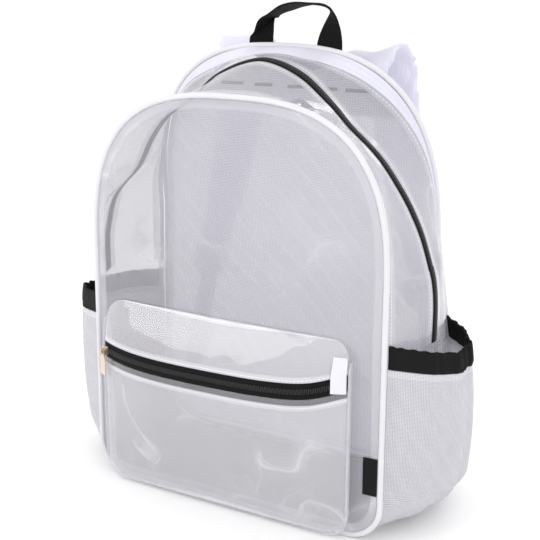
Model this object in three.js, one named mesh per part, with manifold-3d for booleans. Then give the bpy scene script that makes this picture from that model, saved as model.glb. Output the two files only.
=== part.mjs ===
// A clear stadium backpack standing on its base, in millimetres: +Z up, its front faces -Y.
// The walls are drawn on one surface that is ruled between the front rim and the rear rim. A place on it is
// a turn (0 at the middle of the base, 1 to 2 round a lower corner, 3 where the arch springs, 4 at the top,
// and on down the left side to 8) and a depth (0 at the front rim, 1 at the rear rim).
import * as THREE from 'three';
import Module from 'manifold-3d';
import { mergeVertices } from 'three/addons/utils/BufferGeometryUtils.js';

const wasm = await Module();
wasm.setup();

// Clearances and walls
const GAP = 0.3;
const CLEAR_WALL = 1.2;
const MESH_WALL = 1.2;
const CLOTH_WALL = 1.4;
const BINDING_WALL = 2.4;
const PIPING_RADIUS = 2.6;

// Rims: half width at the base, how far the sides lean in by where the arch springs, heights, the arch's power
// and the lean in y
const FRONT = { half: 151, taper: 1, springZ: 226, top: 382, power: 2.8, corner: 32, yBase: -74, yTop: -69 };
const REAR = { half: 170, taper: 21, springZ: 252, top: 418, power: 2.7, corner: 45, yBase: 74, yTop: 28 };
const FRONT_BELLY = 5;
const BACK_BELLY = 12;

// How far the walls stand out between the rims, as shares of the swell, by turn: the left side hangs fuller
const WALL_SWELL = 21;
const SWELL_ROWS = [
  { turn: 0, out: 0 },
  { turn: 1.6, out: 0 },
  { turn: 2.2, out: 0.65 },
  { turn: 2.75, out: 1 },
  { turn: 2.95, out: 0.95 },
  { turn: 3.08, out: 0.52 },
  { turn: 3.2, out: 0.05 },
  { turn: 3.35, out: -0.5 },
  { turn: 3.55, out: -0.9 },
  { turn: 3.7, out: -0.6 },
  { turn: 3.85, out: 0.04 },
  { turn: 4, out: 0.35 },
  { turn: 4.15, out: -0.1 },
  { turn: 4.3, out: -0.9 },
  { turn: 4.45, out: -1 },
  { turn: 4.6, out: -0.9 },
  { turn: 4.75, out: -0.45 },
  { turn: 4.9, out: 1 },
  { turn: 5.05, out: 1.45 },
  { turn: 5.25, out: 1.4 },
  { turn: 5.55, out: 1.5 },
  { turn: 5.9, out: 1.3 },
  { turn: 6.25, out: 0.7 },
  { turn: 6.5, out: 0.15 },
  { turn: 6.7, out: 0 },
  { turn: 8, out: 0 },
];

// Arch: the main zip and the strips beside it
const ZIP_DEPTH = 0.46;
const ZIP_TAPE = 9;
const ZIP_ROWS = [
  { turn: 2.6, depth: 0.44 },
  { turn: 2.9, depth: 0.47 },
  { turn: 3.1, depth: 0.49 },
  { turn: 3.3, depth: 0.45 },
  { turn: 3.55, depth: 0.427 },
  { turn: 3.75, depth: 0.475 },
  { turn: 3.9, depth: 0.53 },
  { turn: 4, depth: 0.56 },
];
const COIL_WIDTH = 5;
const COIL_RISE = 1.2;
const COIL_SLOPE = 0.4;
const MAIN_SLIDER = { width: 9, length: 16, wall: 3, corner: 2.5, lift: 0.4 };
const EDGE_STRIP_WIDTH = 30;
const EDGE_STRIP_ROWS = [
  { turn: 2.6, width: 0.13 },
  { turn: 3.3, width: 0.14 },
  { turn: 3.45, width: 0.24 },
  { turn: 3.6, width: 0.32 },
  { turn: 3.75, width: 0.47 },
  { turn: 3.9, width: 0.8 },
  { turn: 4, width: 0.88 },
];
const SIDE_SEAM_RIGHT = 174;
const SIDE_SEAM_LEFT = 188;
const BASE_SEAM_TURN = 1.5;

// Side pockets
const SIDE_POCKET_SWELL = 29;
const SIDE_POCKET_FOOT = 1.34;
const MOUTH_FRONT = 184;
const MOUTH_REAR = 177;
const MOUTH_DIP = 12;
const BINDING_HEIGHT = 13;
const SIDE_POCKET_POWER = 2.4;
const SIDE_POCKET_ROWS = [
  { up: 0, out: 0 },
  { up: 0.1, out: 0.2 },
  { up: 0.3, out: 0.68 },
  { up: 0.55, out: 0.94 },
  { up: 0.8, out: 1 },
  { up: 1, out: 0.86 },
];

// Front pocket
const POCKET_X = -6;
const POCKET_SIDE = 22.5;
const POCKET_HALF = FRONT.half - POCKET_SIDE;
const POCKET_BASE = 5;
const POCKET_TOP = 184;
const POCKET_CORNER = 18;
const POCKET_EDGE = 10;
const POCKET_SWELL = 16;
const POCKET_POWER = 4;
const TOP_BAND_POWER = 1.5;
const POCKET_ZIP_Z = 135;
const POCKET_ZIP_TAPE = 15;
const WELT_HEIGHT = 5;
const WELT_RADIUS = 1.3;
const ZIP_RISE = 15;
const ZIP_RISE_ROWS = [
  { across: -1, rise: 0 },
  { across: -0.5, rise: -0.05 },
  { across: 0, rise: 0 },
  { across: 0.45, rise: 0.12 },
  { across: 0.75, rise: 0.36 },
  { across: 1, rise: 1 },
];
const POCKET_FILL_ROWS = [
  { up: 0, fill: 0.12 },
  { up: 0.3, fill: 0.55 },
  { up: 0.7, fill: 0.92 },
  { up: 1, fill: 1 },
];
const END_TAB_WIDTH = 12;
const END_TAB_BASE = 141;
const END_TAB_TOP = 172;
const END_TAB_WALL = 1;

// Zip pull of the front pocket
const SLIDER_ACROSS = -0.965;
const SLIDER_LENGTH = 9;
const SLIDER_HEIGHT = 8.5;
const SLIDER_CORNER = 2;
const SLIDER_PLATE = 2.2;
const BRIDGE_INNER = 1.25;
const BRIDGE_OUTER = 2.6;
const BRIDGE_WIDTH = 1.6;
const BRIDGE_STAND = 1.7;
const PULL_LENGTH = 24;
const PULL_WIDTH = 8;
const PULL_WALL = 1.2;
const PULL_NECK = 5.2;
const PULL_EYE = 2.6;
const PULL_SHOULDER = 1.2;
const PULL_TAPER = 1.6;
const PULL_CORNER = 2;

// Yoke and handle
const YOKE_BASE = 357;
const YOKE_TIP = 0.012;
const HANDLE_X = 7.5;
const HANDLE_HALF = 35.5;
const HANDLE_TOP = 457;
const HANDLE_FOOT = 379;
const HANDLE_LEG_SHARE = 0.25;
const HANDLE_ROWS = [
  { across: -1, up: 0, twist: 0, tilt: 0 },
  { across: -0.98, up: 0.18, twist: 2, tilt: 12 },
  { across: -0.94, up: 0.35, twist: 10, tilt: 30 },
  { across: -0.85, up: 0.5, twist: 45, tilt: 42 },
  { across: -0.67, up: 0.66, twist: 86, tilt: -10 },
  { across: -0.25, up: 0.87, twist: 80, tilt: -60 },
  { across: 0.15, up: 0.975, twist: 82, tilt: -80 },
  { across: 0.6, up: 0.985, twist: 87, tilt: -108 },
  { across: 0.95, up: 0.9, twist: 72, tilt: -145 },
  { across: 1.05, up: 0.72, twist: 52, tilt: -172 },
  { across: 1.05, up: 0.45, twist: 30, tilt: -180 },
  { across: 1.02, up: 0.2, twist: 12, tilt: -180 },
  { across: 1, up: 0, twist: 0, tilt: -180 },
];
const WEBBING_WIDTH = 25;
const WEBBING_WALL = 2;

// Shoulder straps, their lower webbing and buckles
const STRAP_X = 85;
const STRAP_BACK = 92;
const STRAP_WIDTH = 58;
const STRAP_THICK = 8;
const RIGHT_STRAP_ROWS = [
  { x: 0.72, up: 0.905, back: 0.498, width: 0.86, lean: 0, swing: 0 },
  { x: 0.78, up: 0.95, back: 0.58, width: 0.95, lean: 7, swing: 8 },
  { x: 0.865, up: 0.983, back: 0.73, width: 1, lean: 12, swing: 15 },
  { x: 0.905, up: 0.968, back: 0.88, width: 1, lean: 11, swing: 14 },
  { x: 0.93, up: 0.92, back: 0.965, width: 1, lean: 7, swing: 10 },
  { x: 0.985, up: 0.86, back: 1, width: 1, lean: 2, swing: 5 },
  { x: 1.1, up: 0.74, back: 1.02, width: 0.97, lean: 0, swing: 0 },
  { x: 1.27, up: 0.6, back: 1, width: 0.85, lean: 0, swing: 0 },
  { x: 1.42, up: 0.475, back: 0.95, width: 0.62, lean: 0, swing: 0 },
];
const LEFT_STRAP_ROWS = [
  { x: 0.7, up: 0.905, back: 0.498, width: 0.86, lean: 0, swing: 0 },
  { x: 0.73, up: 0.963, back: 0.58, width: 0.95, lean: -1, swing: -5 },
  { x: 0.77, up: 1.004, back: 0.73, width: 0.98, lean: -3, swing: -10 },
  { x: 0.83, up: 0.99, back: 0.88, width: 1, lean: -3, swing: -9 },
  { x: 0.9, up: 0.925, back: 0.965, width: 1, lean: -1, swing: -5 },
  { x: 0.98, up: 0.86, back: 1, width: 1, lean: 0, swing: 0 },
  { x: 1.1, up: 0.74, back: 1.02, width: 0.97, lean: 0, swing: 0 },
  { x: 1.27, up: 0.6, back: 1, width: 0.85, lean: 0, swing: 0 },
  { x: 1.42, up: 0.475, back: 0.95, width: 0.62, lean: 0, swing: 0 },
];
const LOWER_WEBBING_WIDTH = 20;
const LOWER_WEBBING_WALL = 1.5;
const ANCHOR_X = 146;
const ANCHOR_Z = 28;
const BUCKLE_WIDTH = 40;
const BUCKLE_HEIGHT = 26;
const BUCKLE_WALL = 4;
const BUCKLE_CORNER = 4;
const BUCKLE_DROP = 2;
const SLOT_OFFSET = 6;
const SLOT_HEIGHT = 4;
const SLOT_SLACK = 4;

// Side tag
const TAG_WIDTH = 13;
const TAG_BASE = 46;
const TAG_TOP = 81;
const TAG_WALL = 1;

// How finely the bodies are divided
const AROUND_STEPS = 56;
const ARCH_STEPS = 36;
const RIM_SAMPLES = 80;
const FACE_RINGS = 3;
const FACE_MIDDLE = 0.82;
const PIPING_SIDES = 6;
const WELT_SIDES = 5;
const POCKET_COLUMNS = 18;
const POCKET_EDGE_STEPS = 44;
const POCKET_ZIP_STEPS = 20;
const HANDLE_STEPS = 36;
const STRAP_STEPS = 20;
const BASE_STOPS = [0.5, 1, 1.25];
const CURVE_SEGMENTS = 5;

const TOP = 4;
const ROUND = 2 * TOP;
const NUDGE = 1e-3;
const INSET = PIPING_RADIUS + GAP;
const UP = new THREE.Vector3(0, 0, 1);
const MIDDLE = new THREE.Vector3(0, 0, REAR.top / 2);
const { lerp, clamp, smoothstep, degToRad } = THREE.MathUtils;

function point(x, y, z) {
  return new THREE.Vector3(x, y, z);
}

// Smooth value of a column of a table whose rows are in order of the key.
function tableAt(rows, key, column, at) {
  const last = rows.length - 1;
  if (at <= rows[0][key]) return rows[0][column];
  if (at >= rows[last][key]) return rows[last][column];
  const i = rows.findIndex((row) => row[key] > at) - 1;
  const slope = (a, b) => (rows[b][column] - rows[a][column]) / (rows[b][key] - rows[a][key]);
  const span = rows[i + 1][key] - rows[i][key];
  const t = (at - rows[i][key]) / span;
  const start = slope(Math.max(i - 1, 0), i + 1) * span;
  const end = slope(i, Math.min(i + 2, last)) * span;
  const rise = t * t * (3 - 2 * t);
  return lerp(rows[i][column], rows[i + 1][column], rise)
    + t * (1 - t) * (1 - t) * start
    - t * t * (1 - t) * end;
}

// Half width where the arch springs.
function springHalf(panel) {
  return panel.half - panel.taper;
}

// One quarter of an arch as points at even lengths: a superellipse from the spring to the top.
function archPoints(panel) {
  const fine = [];
  let length = 0;
  for (let i = 0; i <= RIM_SAMPLES; i += 1) {
    const angle = (1 - Math.cos(Math.PI * i / RIM_SAMPLES)) * Math.PI / 4;
    const x = springHalf(panel) * Math.max(Math.cos(angle), 0) ** (2 / panel.power);
    const z = panel.springZ + (panel.top - panel.springZ) * Math.sin(angle) ** (2 / panel.power);
    if (i > 0) length += Math.hypot(x - fine[i - 1].x, z - fine[i - 1].z);
    fine.push({ x, z, length });
  }
  return fine.map((row) => ({ x: row.x, z: row.z, share: row.length / length }));
}

const ARCHES = new Map([[FRONT, archPoints(FRONT)], [REAR, archPoints(REAR)]]);

// The seam line of a rim, which is the middle of its piping.
function rim(panel, turn) {
  const right = turn <= TOP;
  const at = right ? turn : ROUND - turn;
  const cornerZ = PIPING_RADIUS + panel.corner;
  const angle = (at - 1) * Math.PI / 2;
  let x = (panel.half - panel.corner) * at;
  let z = PIPING_RADIUS;
  if (at > 1 && at <= 2) {
    x = panel.half - panel.corner * (1 - Math.sin(angle));
    z = cornerZ - panel.corner * Math.cos(angle);
  } else if (at > 2 && at <= 3) {
    x = lerp(panel.half, springHalf(panel), at - 2);
    z = lerp(cornerZ, panel.springZ, at - 2);
  } else if (at > 3) {
    const rows = ARCHES.get(panel);
    const i = clamp(rows.findIndex((row) => row.share >= at - 3), 1, RIM_SAMPLES);
    const part = (at - 3 - rows[i - 1].share) / (rows[i].share - rows[i - 1].share);
    x = lerp(rows[i - 1].x, rows[i].x, part);
    z = lerp(rows[i - 1].z, rows[i].z, part);
  }
  return point(right ? x : -x, lerp(panel.yBase, panel.yTop, z / panel.top), z);
}

// The way out of the bag, square to a rim or a blend of both, with no part along y.
function outward(turn, depth) {
  const step = (panel) => rim(panel, turn + NUDGE).sub(rim(panel, turn - NUDGE));
  const along = step(FRONT).lerp(step(REAR), depth);
  return point(along.z, 0, -along.x).normalize();
}

// The outer face of the walls. On the base it drops to the floor, level with the piping.
function wall(turn, depth) {
  const swell = WALL_SWELL * tableAt(SWELL_ROWS, 'turn', 'out', turn) * Math.sin(Math.PI * depth);
  const foot = PIPING_RADIUS * (1 - smoothstep(Math.min(turn, ROUND - turn), 1, 2));
  const seam = rim(FRONT, turn).lerp(rim(REAR, turn), depth);
  return seam.addScaledVector(outward(turn, depth), swell + foot);
}

// The way square to the outer face of the walls.
function wallNormal(turn, depth) {
  const along = wall(turn + NUDGE, depth).sub(wall(turn - NUDGE, depth));
  const back = wall(turn, depth + NUDGE).sub(wall(turn, depth - NUDGE));
  return back.cross(along).normalize();
}

// How much of the depth a length in millimetres is, at a turn.
function depthShare(turn, length) {
  return length / rim(FRONT, turn).distanceTo(rim(REAR, turn));
}

// The turn at which a side reaches a height.
function turnAtHeight(z, depth) {
  const share = (panel) => (z - PIPING_RADIUS - panel.corner) / (panel.springZ - PIPING_RADIUS - panel.corner);
  return 2 + lerp(share(FRONT), share(REAR), depth);
}

// How full a rim's face is at a place on it: 1 in the middle, 0 at the sides, the foot and the top.
function bellyShare(panel, x, z) {
  const across = 1 - (x / springHalf(panel)) ** 2;
  const upright = 1 - Math.abs(2 * z / panel.top - 1) ** 3;
  return Math.max(across, 0) * Math.max(upright, 0);
}

function frontFace(x, z) {
  return lerp(FRONT.yBase, FRONT.yTop, z / FRONT.top) - FRONT_BELLY * bellyShare(FRONT, x, z) - CLEAR_WALL / 2;
}

function backFace(x, z) {
  return lerp(REAR.yBase, REAR.yTop, z / REAR.top) + BACK_BELLY * bellyShare(REAR, x, z) + MESH_WALL / 2;
}

// A closed body from points and triangles, turned so that its faces point out.
function solid(points, faces) {
  let volume = 0;
  for (let i = 0; i < faces.length; i += 3) {
    const [a, b, c] = [points[faces[i]], points[faces[i + 1]], points[faces[i + 2]]];
    volume += a.dot(b.clone().cross(c));
  }
  const geometry = new THREE.BufferGeometry();
  geometry.setAttribute('position', new THREE.Float32BufferAttribute(points.flatMap((p) => p.toArray()), 3));
  geometry.setIndex(volume > 0 ? faces : [...faces].reverse());
  return geometry;
}

// A sheet with a wall: a grid of outer points, the same grid of inner points, and the four edges between them.
function sheet(columns, rows, outerAt, innerAt) {
  const points = [];
  for (const at of [outerAt, innerAt]) {
    for (let i = 0; i <= columns; i += 1) {
      for (let j = 0; j <= rows; j += 1) points.push(at(i / columns, j / rows));
    }
  }
  const outer = (i, j) => i * (rows + 1) + j;
  const inner = (i, j) => outer(i, j) + (columns + 1) * (rows + 1);
  const faces = [];
  const quad = (a, b, c, d) => faces.push(a, b, c, a, c, d);
  for (let i = 0; i < columns; i += 1) {
    for (let j = 0; j < rows; j += 1) {
      quad(outer(i, j), outer(i + 1, j), outer(i + 1, j + 1), outer(i, j + 1));
      quad(inner(i, j), inner(i, j + 1), inner(i + 1, j + 1), inner(i + 1, j));
    }
    quad(outer(i, 0), inner(i, 0), inner(i + 1, 0), outer(i + 1, 0));
    quad(outer(i, rows), outer(i + 1, rows), inner(i + 1, rows), inner(i, rows));
  }
  for (let j = 0; j < rows; j += 1) {
    quad(outer(0, j), outer(0, j + 1), inner(0, j + 1), inner(0, j));
    quad(outer(columns, j), inner(columns, j), inner(columns, j + 1), outer(columns, j + 1));
  }
  return solid(points, faces);
}

// A sheet whose wall is measured square to its outer face, into the bag.
function skin(columns, rows, wallThickness, outerAt) {
  const innerAt = (a, b) => {
    const low = (t) => Math.max(t - NUDGE, 0);
    const high = (t) => Math.min(t + NUDGE, 1);
    const place = outerAt(a, b);
    const across = outerAt(high(a), b).sub(outerAt(low(a), b));
    const upward = outerAt(a, high(b)).sub(outerAt(a, low(b)));
    const normal = across.cross(upward).normalize();
    const facing = Math.sign(normal.dot(place.clone().sub(MIDDLE)));
    return place.addScaledVector(normal, -facing * wallThickness);
  };
  return sheet(columns, rows, outerAt, innerAt);
}

// A body through a row of section loops. A ring joins its last loop to its first, and a run is capped.
function sweep(loops, ring = false) {
  const sides = loops[0].length;
  const faces = [];
  const spans = ring ? loops.length : loops.length - 1;
  for (let i = 0; i < spans; i += 1) {
    const next = (i + 1) % loops.length;
    for (let k = 0; k < sides; k += 1) {
      const other = (k + 1) % sides;
      const [a, b, c, d] = [i * sides + k, i * sides + other, next * sides + other, next * sides + k];
      faces.push(a, b, c, a, c, d);
    }
  }
  const tail = (loops.length - 1) * sides;
  for (let k = 1; k < sides - 1 && !ring; k += 1) {
    faces.push(0, k + 1, k);
    faces.push(tail, tail + k, tail + k + 1);
  }
  return solid(loops.flat(), faces);
}

// A face that fills a rim, as rings of points about its middle.
function rimFace(panel, wallThickness, faceAt, facing) {
  const rings = FACE_RINGS;
  const centre = point(0, 0, panel.springZ * FACE_MIDDLE);
  const place = (share, turn, layer) => {
    const edge = rim(panel, turn).addScaledVector(outward(turn, panel === FRONT ? 0 : 1), -INSET);
    const flat = centre.clone().lerp(edge, share);
    return point(flat.x, faceAt(flat.x, flat.z) - facing * layer * wallThickness, flat.z);
  };
  const points = [];
  for (const layer of [0, 1]) {
    points.push(place(0, 0, layer));
    for (let r = 1; r <= rings; r += 1) {
      for (let i = 0; i < AROUND_STEPS; i += 1) points.push(place(r / rings, ROUND * i / AROUND_STEPS, layer));
    }
  }
  const layerSize = 1 + rings * AROUND_STEPS;
  const at = (layer, r, i) => layer * layerSize + 1 + (r - 1) * AROUND_STEPS + (i % AROUND_STEPS);
  const faces = [];
  for (let i = 0; i < AROUND_STEPS; i += 1) {
    faces.push(0, at(0, 1, i), at(0, 1, i + 1));
    faces.push(layerSize, at(1, 1, i + 1), at(1, 1, i));
    for (let r = 1; r < rings; r += 1) {
      faces.push(at(0, r, i), at(0, r + 1, i), at(0, r + 1, i + 1), at(0, r, i), at(0, r + 1, i + 1), at(0, r, i + 1));
      faces.push(at(1, r, i), at(1, r + 1, i + 1), at(1, r + 1, i), at(1, r, i), at(1, r, i + 1), at(1, r + 1, i + 1));
    }
    const [a, b] = [at(0, rings, i), at(0, rings, i + 1)];
    const [c, d] = [at(1, rings, i), at(1, rings, i + 1)];
    faces.push(a, c, d, a, d, b);
  }
  return solid(points, faces);
}

// Cord sewn round a rim.
function piping(panel) {
  const sides = PIPING_SIDES;
  const depth = panel === FRONT ? 0 : 1;
  const loops = [];
  for (let i = 0; i < AROUND_STEPS; i += 1) {
    const turn = ROUND * i / AROUND_STEPS;
    const middle = rim(panel, turn);
    const out = outward(turn, depth);
    const loop = [];
    for (let k = 0; k < sides; k += 1) {
      const angle = 2 * Math.PI * k / sides;
      const spot = middle.clone().addScaledVector(out, PIPING_RADIUS * Math.cos(angle));
      spot.y += PIPING_RADIUS * Math.sin(angle);
      loop.push(spot);
    }
    loops.push(loop);
  }
  return sweep(loops, true);
}

// The turn at a share of the way over the arch, from the right side seam to the left one.
function archTurn(share, depth) {
  const start = turnAtHeight(SIDE_SEAM_RIGHT, depth);
  const end = ROUND - turnAtHeight(SIDE_SEAM_LEFT, depth);
  return lerp(start, end, share);
}

// A strip of the arch between two edges, each given as a depth by turn.
function archStrip(columns, rows, wallThickness, frontEdge, rearEdge) {
  return skin(columns, rows, wallThickness, (a, b) => {
    const turn = archTurn(a, ZIP_DEPTH);
    const depth = lerp(frontEdge(turn), rearEdge(turn), b);
    return wall(archTurn(a, depth), depth);
  });
}

// Depth of the middle of the main zip at a turn.
function zipDepth(turn) {
  return tableAt(ZIP_ROWS, 'turn', 'depth', Math.min(turn, ROUND - turn));
}

function edgeStripDepth(turn) {
  const at = Math.min(turn, ROUND - turn);
  const width = EDGE_STRIP_WIDTH * tableAt(EDGE_STRIP_ROWS, 'turn', 'width', at);
  return 1 - depthShare(turn, INSET + width);
}

// Section of a zip, as places across it and out of it: a flat tape with a raised coil along its middle.
function zipProfile(tape) {
  const half = tape / 2;
  const [foot, crest] = [COIL_WIDTH / 2 + COIL_SLOPE, COIL_WIDTH / 2 - COIL_SLOPE];
  return [
    [0, -CLEAR_WALL],
    [half, -CLEAR_WALL],
    [half, 0],
    [foot, 0],
    [crest, COIL_RISE],
    [-crest, COIL_RISE],
    [-foot, 0],
    [-half, 0],
    [-half, -CLEAR_WALL],
  ];
}

// The main zip, carried over the arch.
function mainZip() {
  const profile = zipProfile(ZIP_TAPE);
  const loops = [];
  for (let i = 0; i <= ARCH_STEPS; i += 1) {
    const turn = archTurn(i / ARCH_STEPS, ZIP_DEPTH);
    loops.push(profile.map(([across, out]) => {
      const depth = zipDepth(turn) + depthShare(turn, across);
      const way = archTurn(i / ARCH_STEPS, depth);
      return wall(way, depth).addScaledVector(wallNormal(way, depth), out);
    }));
  }
  return sweep(loops);
}

// A side wall under the arch, down to the seam with the base.
function sidePanel(side) {
  const seam = side > 0 ? SIDE_SEAM_RIGHT : SIDE_SEAM_LEFT;
  return skin(8, 4, CLEAR_WALL, (a, b) => {
    const edge = depthShare(2, INSET);
    const depth = lerp(edge, 1 - edge, b);
    const under = turnAtHeight(seam - GAP, depth);
    const turn = lerp(BASE_SEAM_TURN, under, a);
    return wall(side > 0 ? turn : ROUND - turn, depth);
  });
}

// The base, which turns up at both ends to the side walls.
function basePanel() {
  const reach = BASE_SEAM_TURN - GAP / REAR.corner;
  const right = [...BASE_STOPS, reach];
  const stops = [...right.map((stop) => -stop).reverse(), 0, ...right];
  return skin(stops.length - 1, 1, CLEAR_WALL, (a, b) => {
    const position = a * (stops.length - 1);
    const i = Math.min(Math.floor(position), stops.length - 2);
    const turn = lerp(stops[i], stops[i + 1], position - i);
    const edge = depthShare(0, INSET);
    return wall(turn < 0 ? ROUND + turn : turn, lerp(edge, 1 - edge, b));
  });
}

// The outer face of a side pocket: share a runs from the front rim to the rear, share b from the foot up.
function sidePocketAt(side, a, b) {
  const edge = depthShare(2, INSET);
  const depth = lerp(edge, 1 - edge, a);
  const dip = MOUTH_DIP * Math.sin(Math.PI * a);
  const mouth = turnAtHeight(lerp(MOUTH_FRONT, MOUTH_REAR, a) - dip, depth);
  const turn = lerp(SIDE_POCKET_FOOT, mouth, b);
  const round = 1 - Math.abs(2 * a - 1) ** SIDE_POCKET_POWER;
  const swell = SIDE_POCKET_SWELL * round * tableAt(SIDE_POCKET_ROWS, 'up', 'out', b);
  const out = GAP + BINDING_WALL + swell;
  const place = side > 0 ? turn : ROUND - turn;
  return wall(place, depth).addScaledVector(outward(place, depth), out);
}

function bindingShare() {
  const climb = sidePocketAt(1, 0.5, 0).distanceTo(sidePocketAt(1, 0.5, 1));
  return 1 - BINDING_HEIGHT / climb;
}

function sidePocket(side) {
  const climb = bindingShare() - GAP / MOUTH_FRONT;
  return skin(14, 8, MESH_WALL, (a, b) => sidePocketAt(side, a, b * climb));
}

function pocketBinding(side) {
  const start = bindingShare();
  return skin(16, 1, BINDING_WALL, (a, b) => sidePocketAt(side, a, lerp(start, 1, b)));
}

// Height of the middle of the pocket's zip, and how far the pocket stands out there.
function pocketZipZ(across) {
  return POCKET_ZIP_Z + ZIP_RISE * tableAt(ZIP_RISE_ROWS, 'across', 'rise', across);
}

function pocketZipReach(across) {
  return POCKET_EDGE + POCKET_SWELL * (1 - Math.abs(across) ** POCKET_POWER);
}

// How far the pocket's outer face stands out from the front face, at a share across and a height.
function pocketReach(across, z) {
  const low = pocketZipZ(across) - POCKET_ZIP_TAPE / 2;
  const high = pocketZipZ(across) + POCKET_ZIP_TAPE / 2;
  const full = pocketZipReach(across);
  if (z <= low) {
    const up = clamp((z - POCKET_BASE) / (low - POCKET_BASE), 0, 1);
    return POCKET_EDGE + (full - POCKET_EDGE) * tableAt(POCKET_FILL_ROWS, 'up', 'fill', up);
  }
  const climb = clamp((z - high) / (POCKET_TOP - high), 0, 1);
  return lerp(full, CLEAR_WALL + GAP, climb ** TOP_BAND_POWER);
}

// The pocket's half width at a height, with its corners rounded.
function pocketHalf(z) {
  const near = Math.min(z - POCKET_BASE, POCKET_TOP - z);
  const inside = clamp(POCKET_CORNER - near, 0, POCKET_CORNER);
  return POCKET_HALF - POCKET_CORNER + Math.sqrt(POCKET_CORNER ** 2 - inside ** 2);
}

function pocketAt(across, z, lift = 0) {
  const x = POCKET_X + across * pocketHalf(z);
  return point(x, frontFace(x, z) - pocketReach(across, z) - lift, z);
}

// A piece of the pocket's face between two heights, each given by the share across.
function pocketSheet(columns, rows, lowAt, highAt) {
  const at = (layer) => (a, b) => {
    const across = lerp(-1, 1, a);
    return pocketAt(across, lerp(lowAt(across), highAt(across), b), -layer * CLEAR_WALL);
  };
  return sheet(columns, rows, at(0), at(1));
}

function pocketFront() {
  const top = (across) => pocketZipZ(across) - POCKET_ZIP_TAPE / 2 - WELT_HEIGHT - 2 * GAP;
  return pocketSheet(POCKET_COLUMNS, 7, () => POCKET_BASE, top);
}

function zipWelt() {
  const top = (across) => pocketZipZ(across) - POCKET_ZIP_TAPE / 2 - GAP;
  return pocketSheet(POCKET_COLUMNS, 1, (across) => top(across) - WELT_HEIGHT, top);
}

function pocketTopBand() {
  const base = (across) => pocketZipZ(across) + POCKET_ZIP_TAPE / 2 + GAP;
  return pocketSheet(POCKET_COLUMNS, 4, base, () => POCKET_TOP);
}

function pocketZip() {
  const profile = zipProfile(POCKET_ZIP_TAPE);
  const loops = [];
  for (let i = 0; i <= POCKET_ZIP_STEPS; i += 1) {
    const across = lerp(-1, 1, i / POCKET_ZIP_STEPS);
    const z = pocketZipZ(across);
    const x = POCKET_X + across * POCKET_HALF;
    const y = frontFace(x, z) - pocketZipReach(across);
    loops.push(profile.map(([up, out]) => point(x, y - out, z + up)));
  }
  return sweep(loops);
}

// The outline of the pocket on its left, foot and right, as a share across and a height, by a share of the way.
function pocketEdge(share) {
  const turnIn = 0.32;
  const top = POCKET_TOP - POCKET_CORNER;
  const corner = POCKET_BASE + POCKET_CORNER;
  const side = share < 0.5 ? -1 : 1;
  const way = side < 0 ? share * 2 : 2 - share * 2;
  const curve = 0.5;
  if (way < turnIn) return { x: side * POCKET_HALF, z: lerp(top, corner, way / turnIn), out: [side, 0] };
  if (way < curve) {
    const angle = (way - turnIn) / (curve - turnIn) * Math.PI / 2;
    const x = side * (POCKET_HALF - POCKET_CORNER * (1 - Math.cos(angle)));
    return { x, z: corner - POCKET_CORNER * Math.sin(angle), out: [side * Math.cos(angle), -Math.sin(angle)] };
  }
  const x = side * lerp(POCKET_HALF - POCKET_CORNER, 0, (way - curve) / (1 - curve));
  return { x, z: POCKET_BASE, out: [0, -1] };
}

// The low wall round the sides and the foot of the pocket, from the front face to the pocket's face.
function pocketGusset() {
  const at = (layer) => (a, b) => {
    const edge = pocketEdge(a);
    const x = POCKET_X + edge.x - layer * CLEAR_WALL * edge.out[0];
    const z = edge.z - layer * CLEAR_WALL * edge.out[1];
    const reach = pocketReach(Math.sign(edge.x) || 1, Math.max(edge.z, POCKET_BASE));
    const stand = Math.min(reach, POCKET_EDGE) - CLEAR_WALL - GAP;
    return point(x, frontFace(x, z) - lerp(GAP, stand, b), z);
  };
  return sheet(POCKET_EDGE_STEPS, 1, at(0), at(1));
}

// The clear welt that edges the pocket's face.
function pocketPiping() {
  const sides = WELT_SIDES;
  const off = GAP + WELT_RADIUS;
  const loops = [];
  for (let i = 0; i <= POCKET_EDGE_STEPS; i += 1) {
    const edge = pocketEdge(i / POCKET_EDGE_STEPS);
    const x = POCKET_X + edge.x + off * edge.out[0];
    const z = Math.max(edge.z + off * edge.out[1], WELT_RADIUS);
    const reach = Math.min(pocketReach(Math.sign(edge.x) || 1, Math.max(edge.z, POCKET_BASE)), POCKET_EDGE);
    const loop = [];
    for (let k = 0; k < sides; k += 1) {
      const angle = 2 * Math.PI * k / sides;
      const out = WELT_RADIUS * Math.cos(angle);
      loop.push(point(x + out * edge.out[0],
        frontFace(POCKET_X + edge.x, edge.z) - reach + CLEAR_WALL / 2 + WELT_RADIUS * Math.sin(angle),
        z + out * edge.out[1]));
    }
    loops.push(loop);
  }
  return sweep(loops);
}

// The white tab that covers the right end of the pocket's zip.
function zipEndTab() {
  const inner = 1 - END_TAB_WIDTH / POCKET_HALF;
  const cover = GAP + COIL_RISE + END_TAB_WALL;
  const at = (layer) => (a, b) => {
    const across = lerp(inner, 1, a);
    return pocketAt(across, lerp(END_TAB_BASE, END_TAB_TOP, b), cover - layer * END_TAB_WALL);
  };
  return sheet(2, 6, at(0), at(1));
}

// A closed solid with its shared vertices merged, and back again.
function asManifold(geometry) {
  const bare = geometry.clone();
  bare.deleteAttribute('normal');
  bare.deleteAttribute('uv');
  const merged = mergeVertices(bare, 1e-4);
  const vertProperties = new Float32Array(merged.attributes.position.array);
  const triVerts = new Uint32Array(merged.index.array);
  return new wasm.Manifold(new wasm.Mesh({ numProp: 3, vertProperties, triVerts }));
}

function asGeometry(manifold) {
  const mesh = manifold.getMesh();
  const geometry = new THREE.BufferGeometry();
  geometry.setAttribute('position', new THREE.Float32BufferAttribute(mesh.vertProperties, 3));
  geometry.setIndex([...mesh.triVerts]);
  return geometry;
}

const FLAT = { bevelEnabled: false, curveSegments: CURVE_SEGMENTS };

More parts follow.
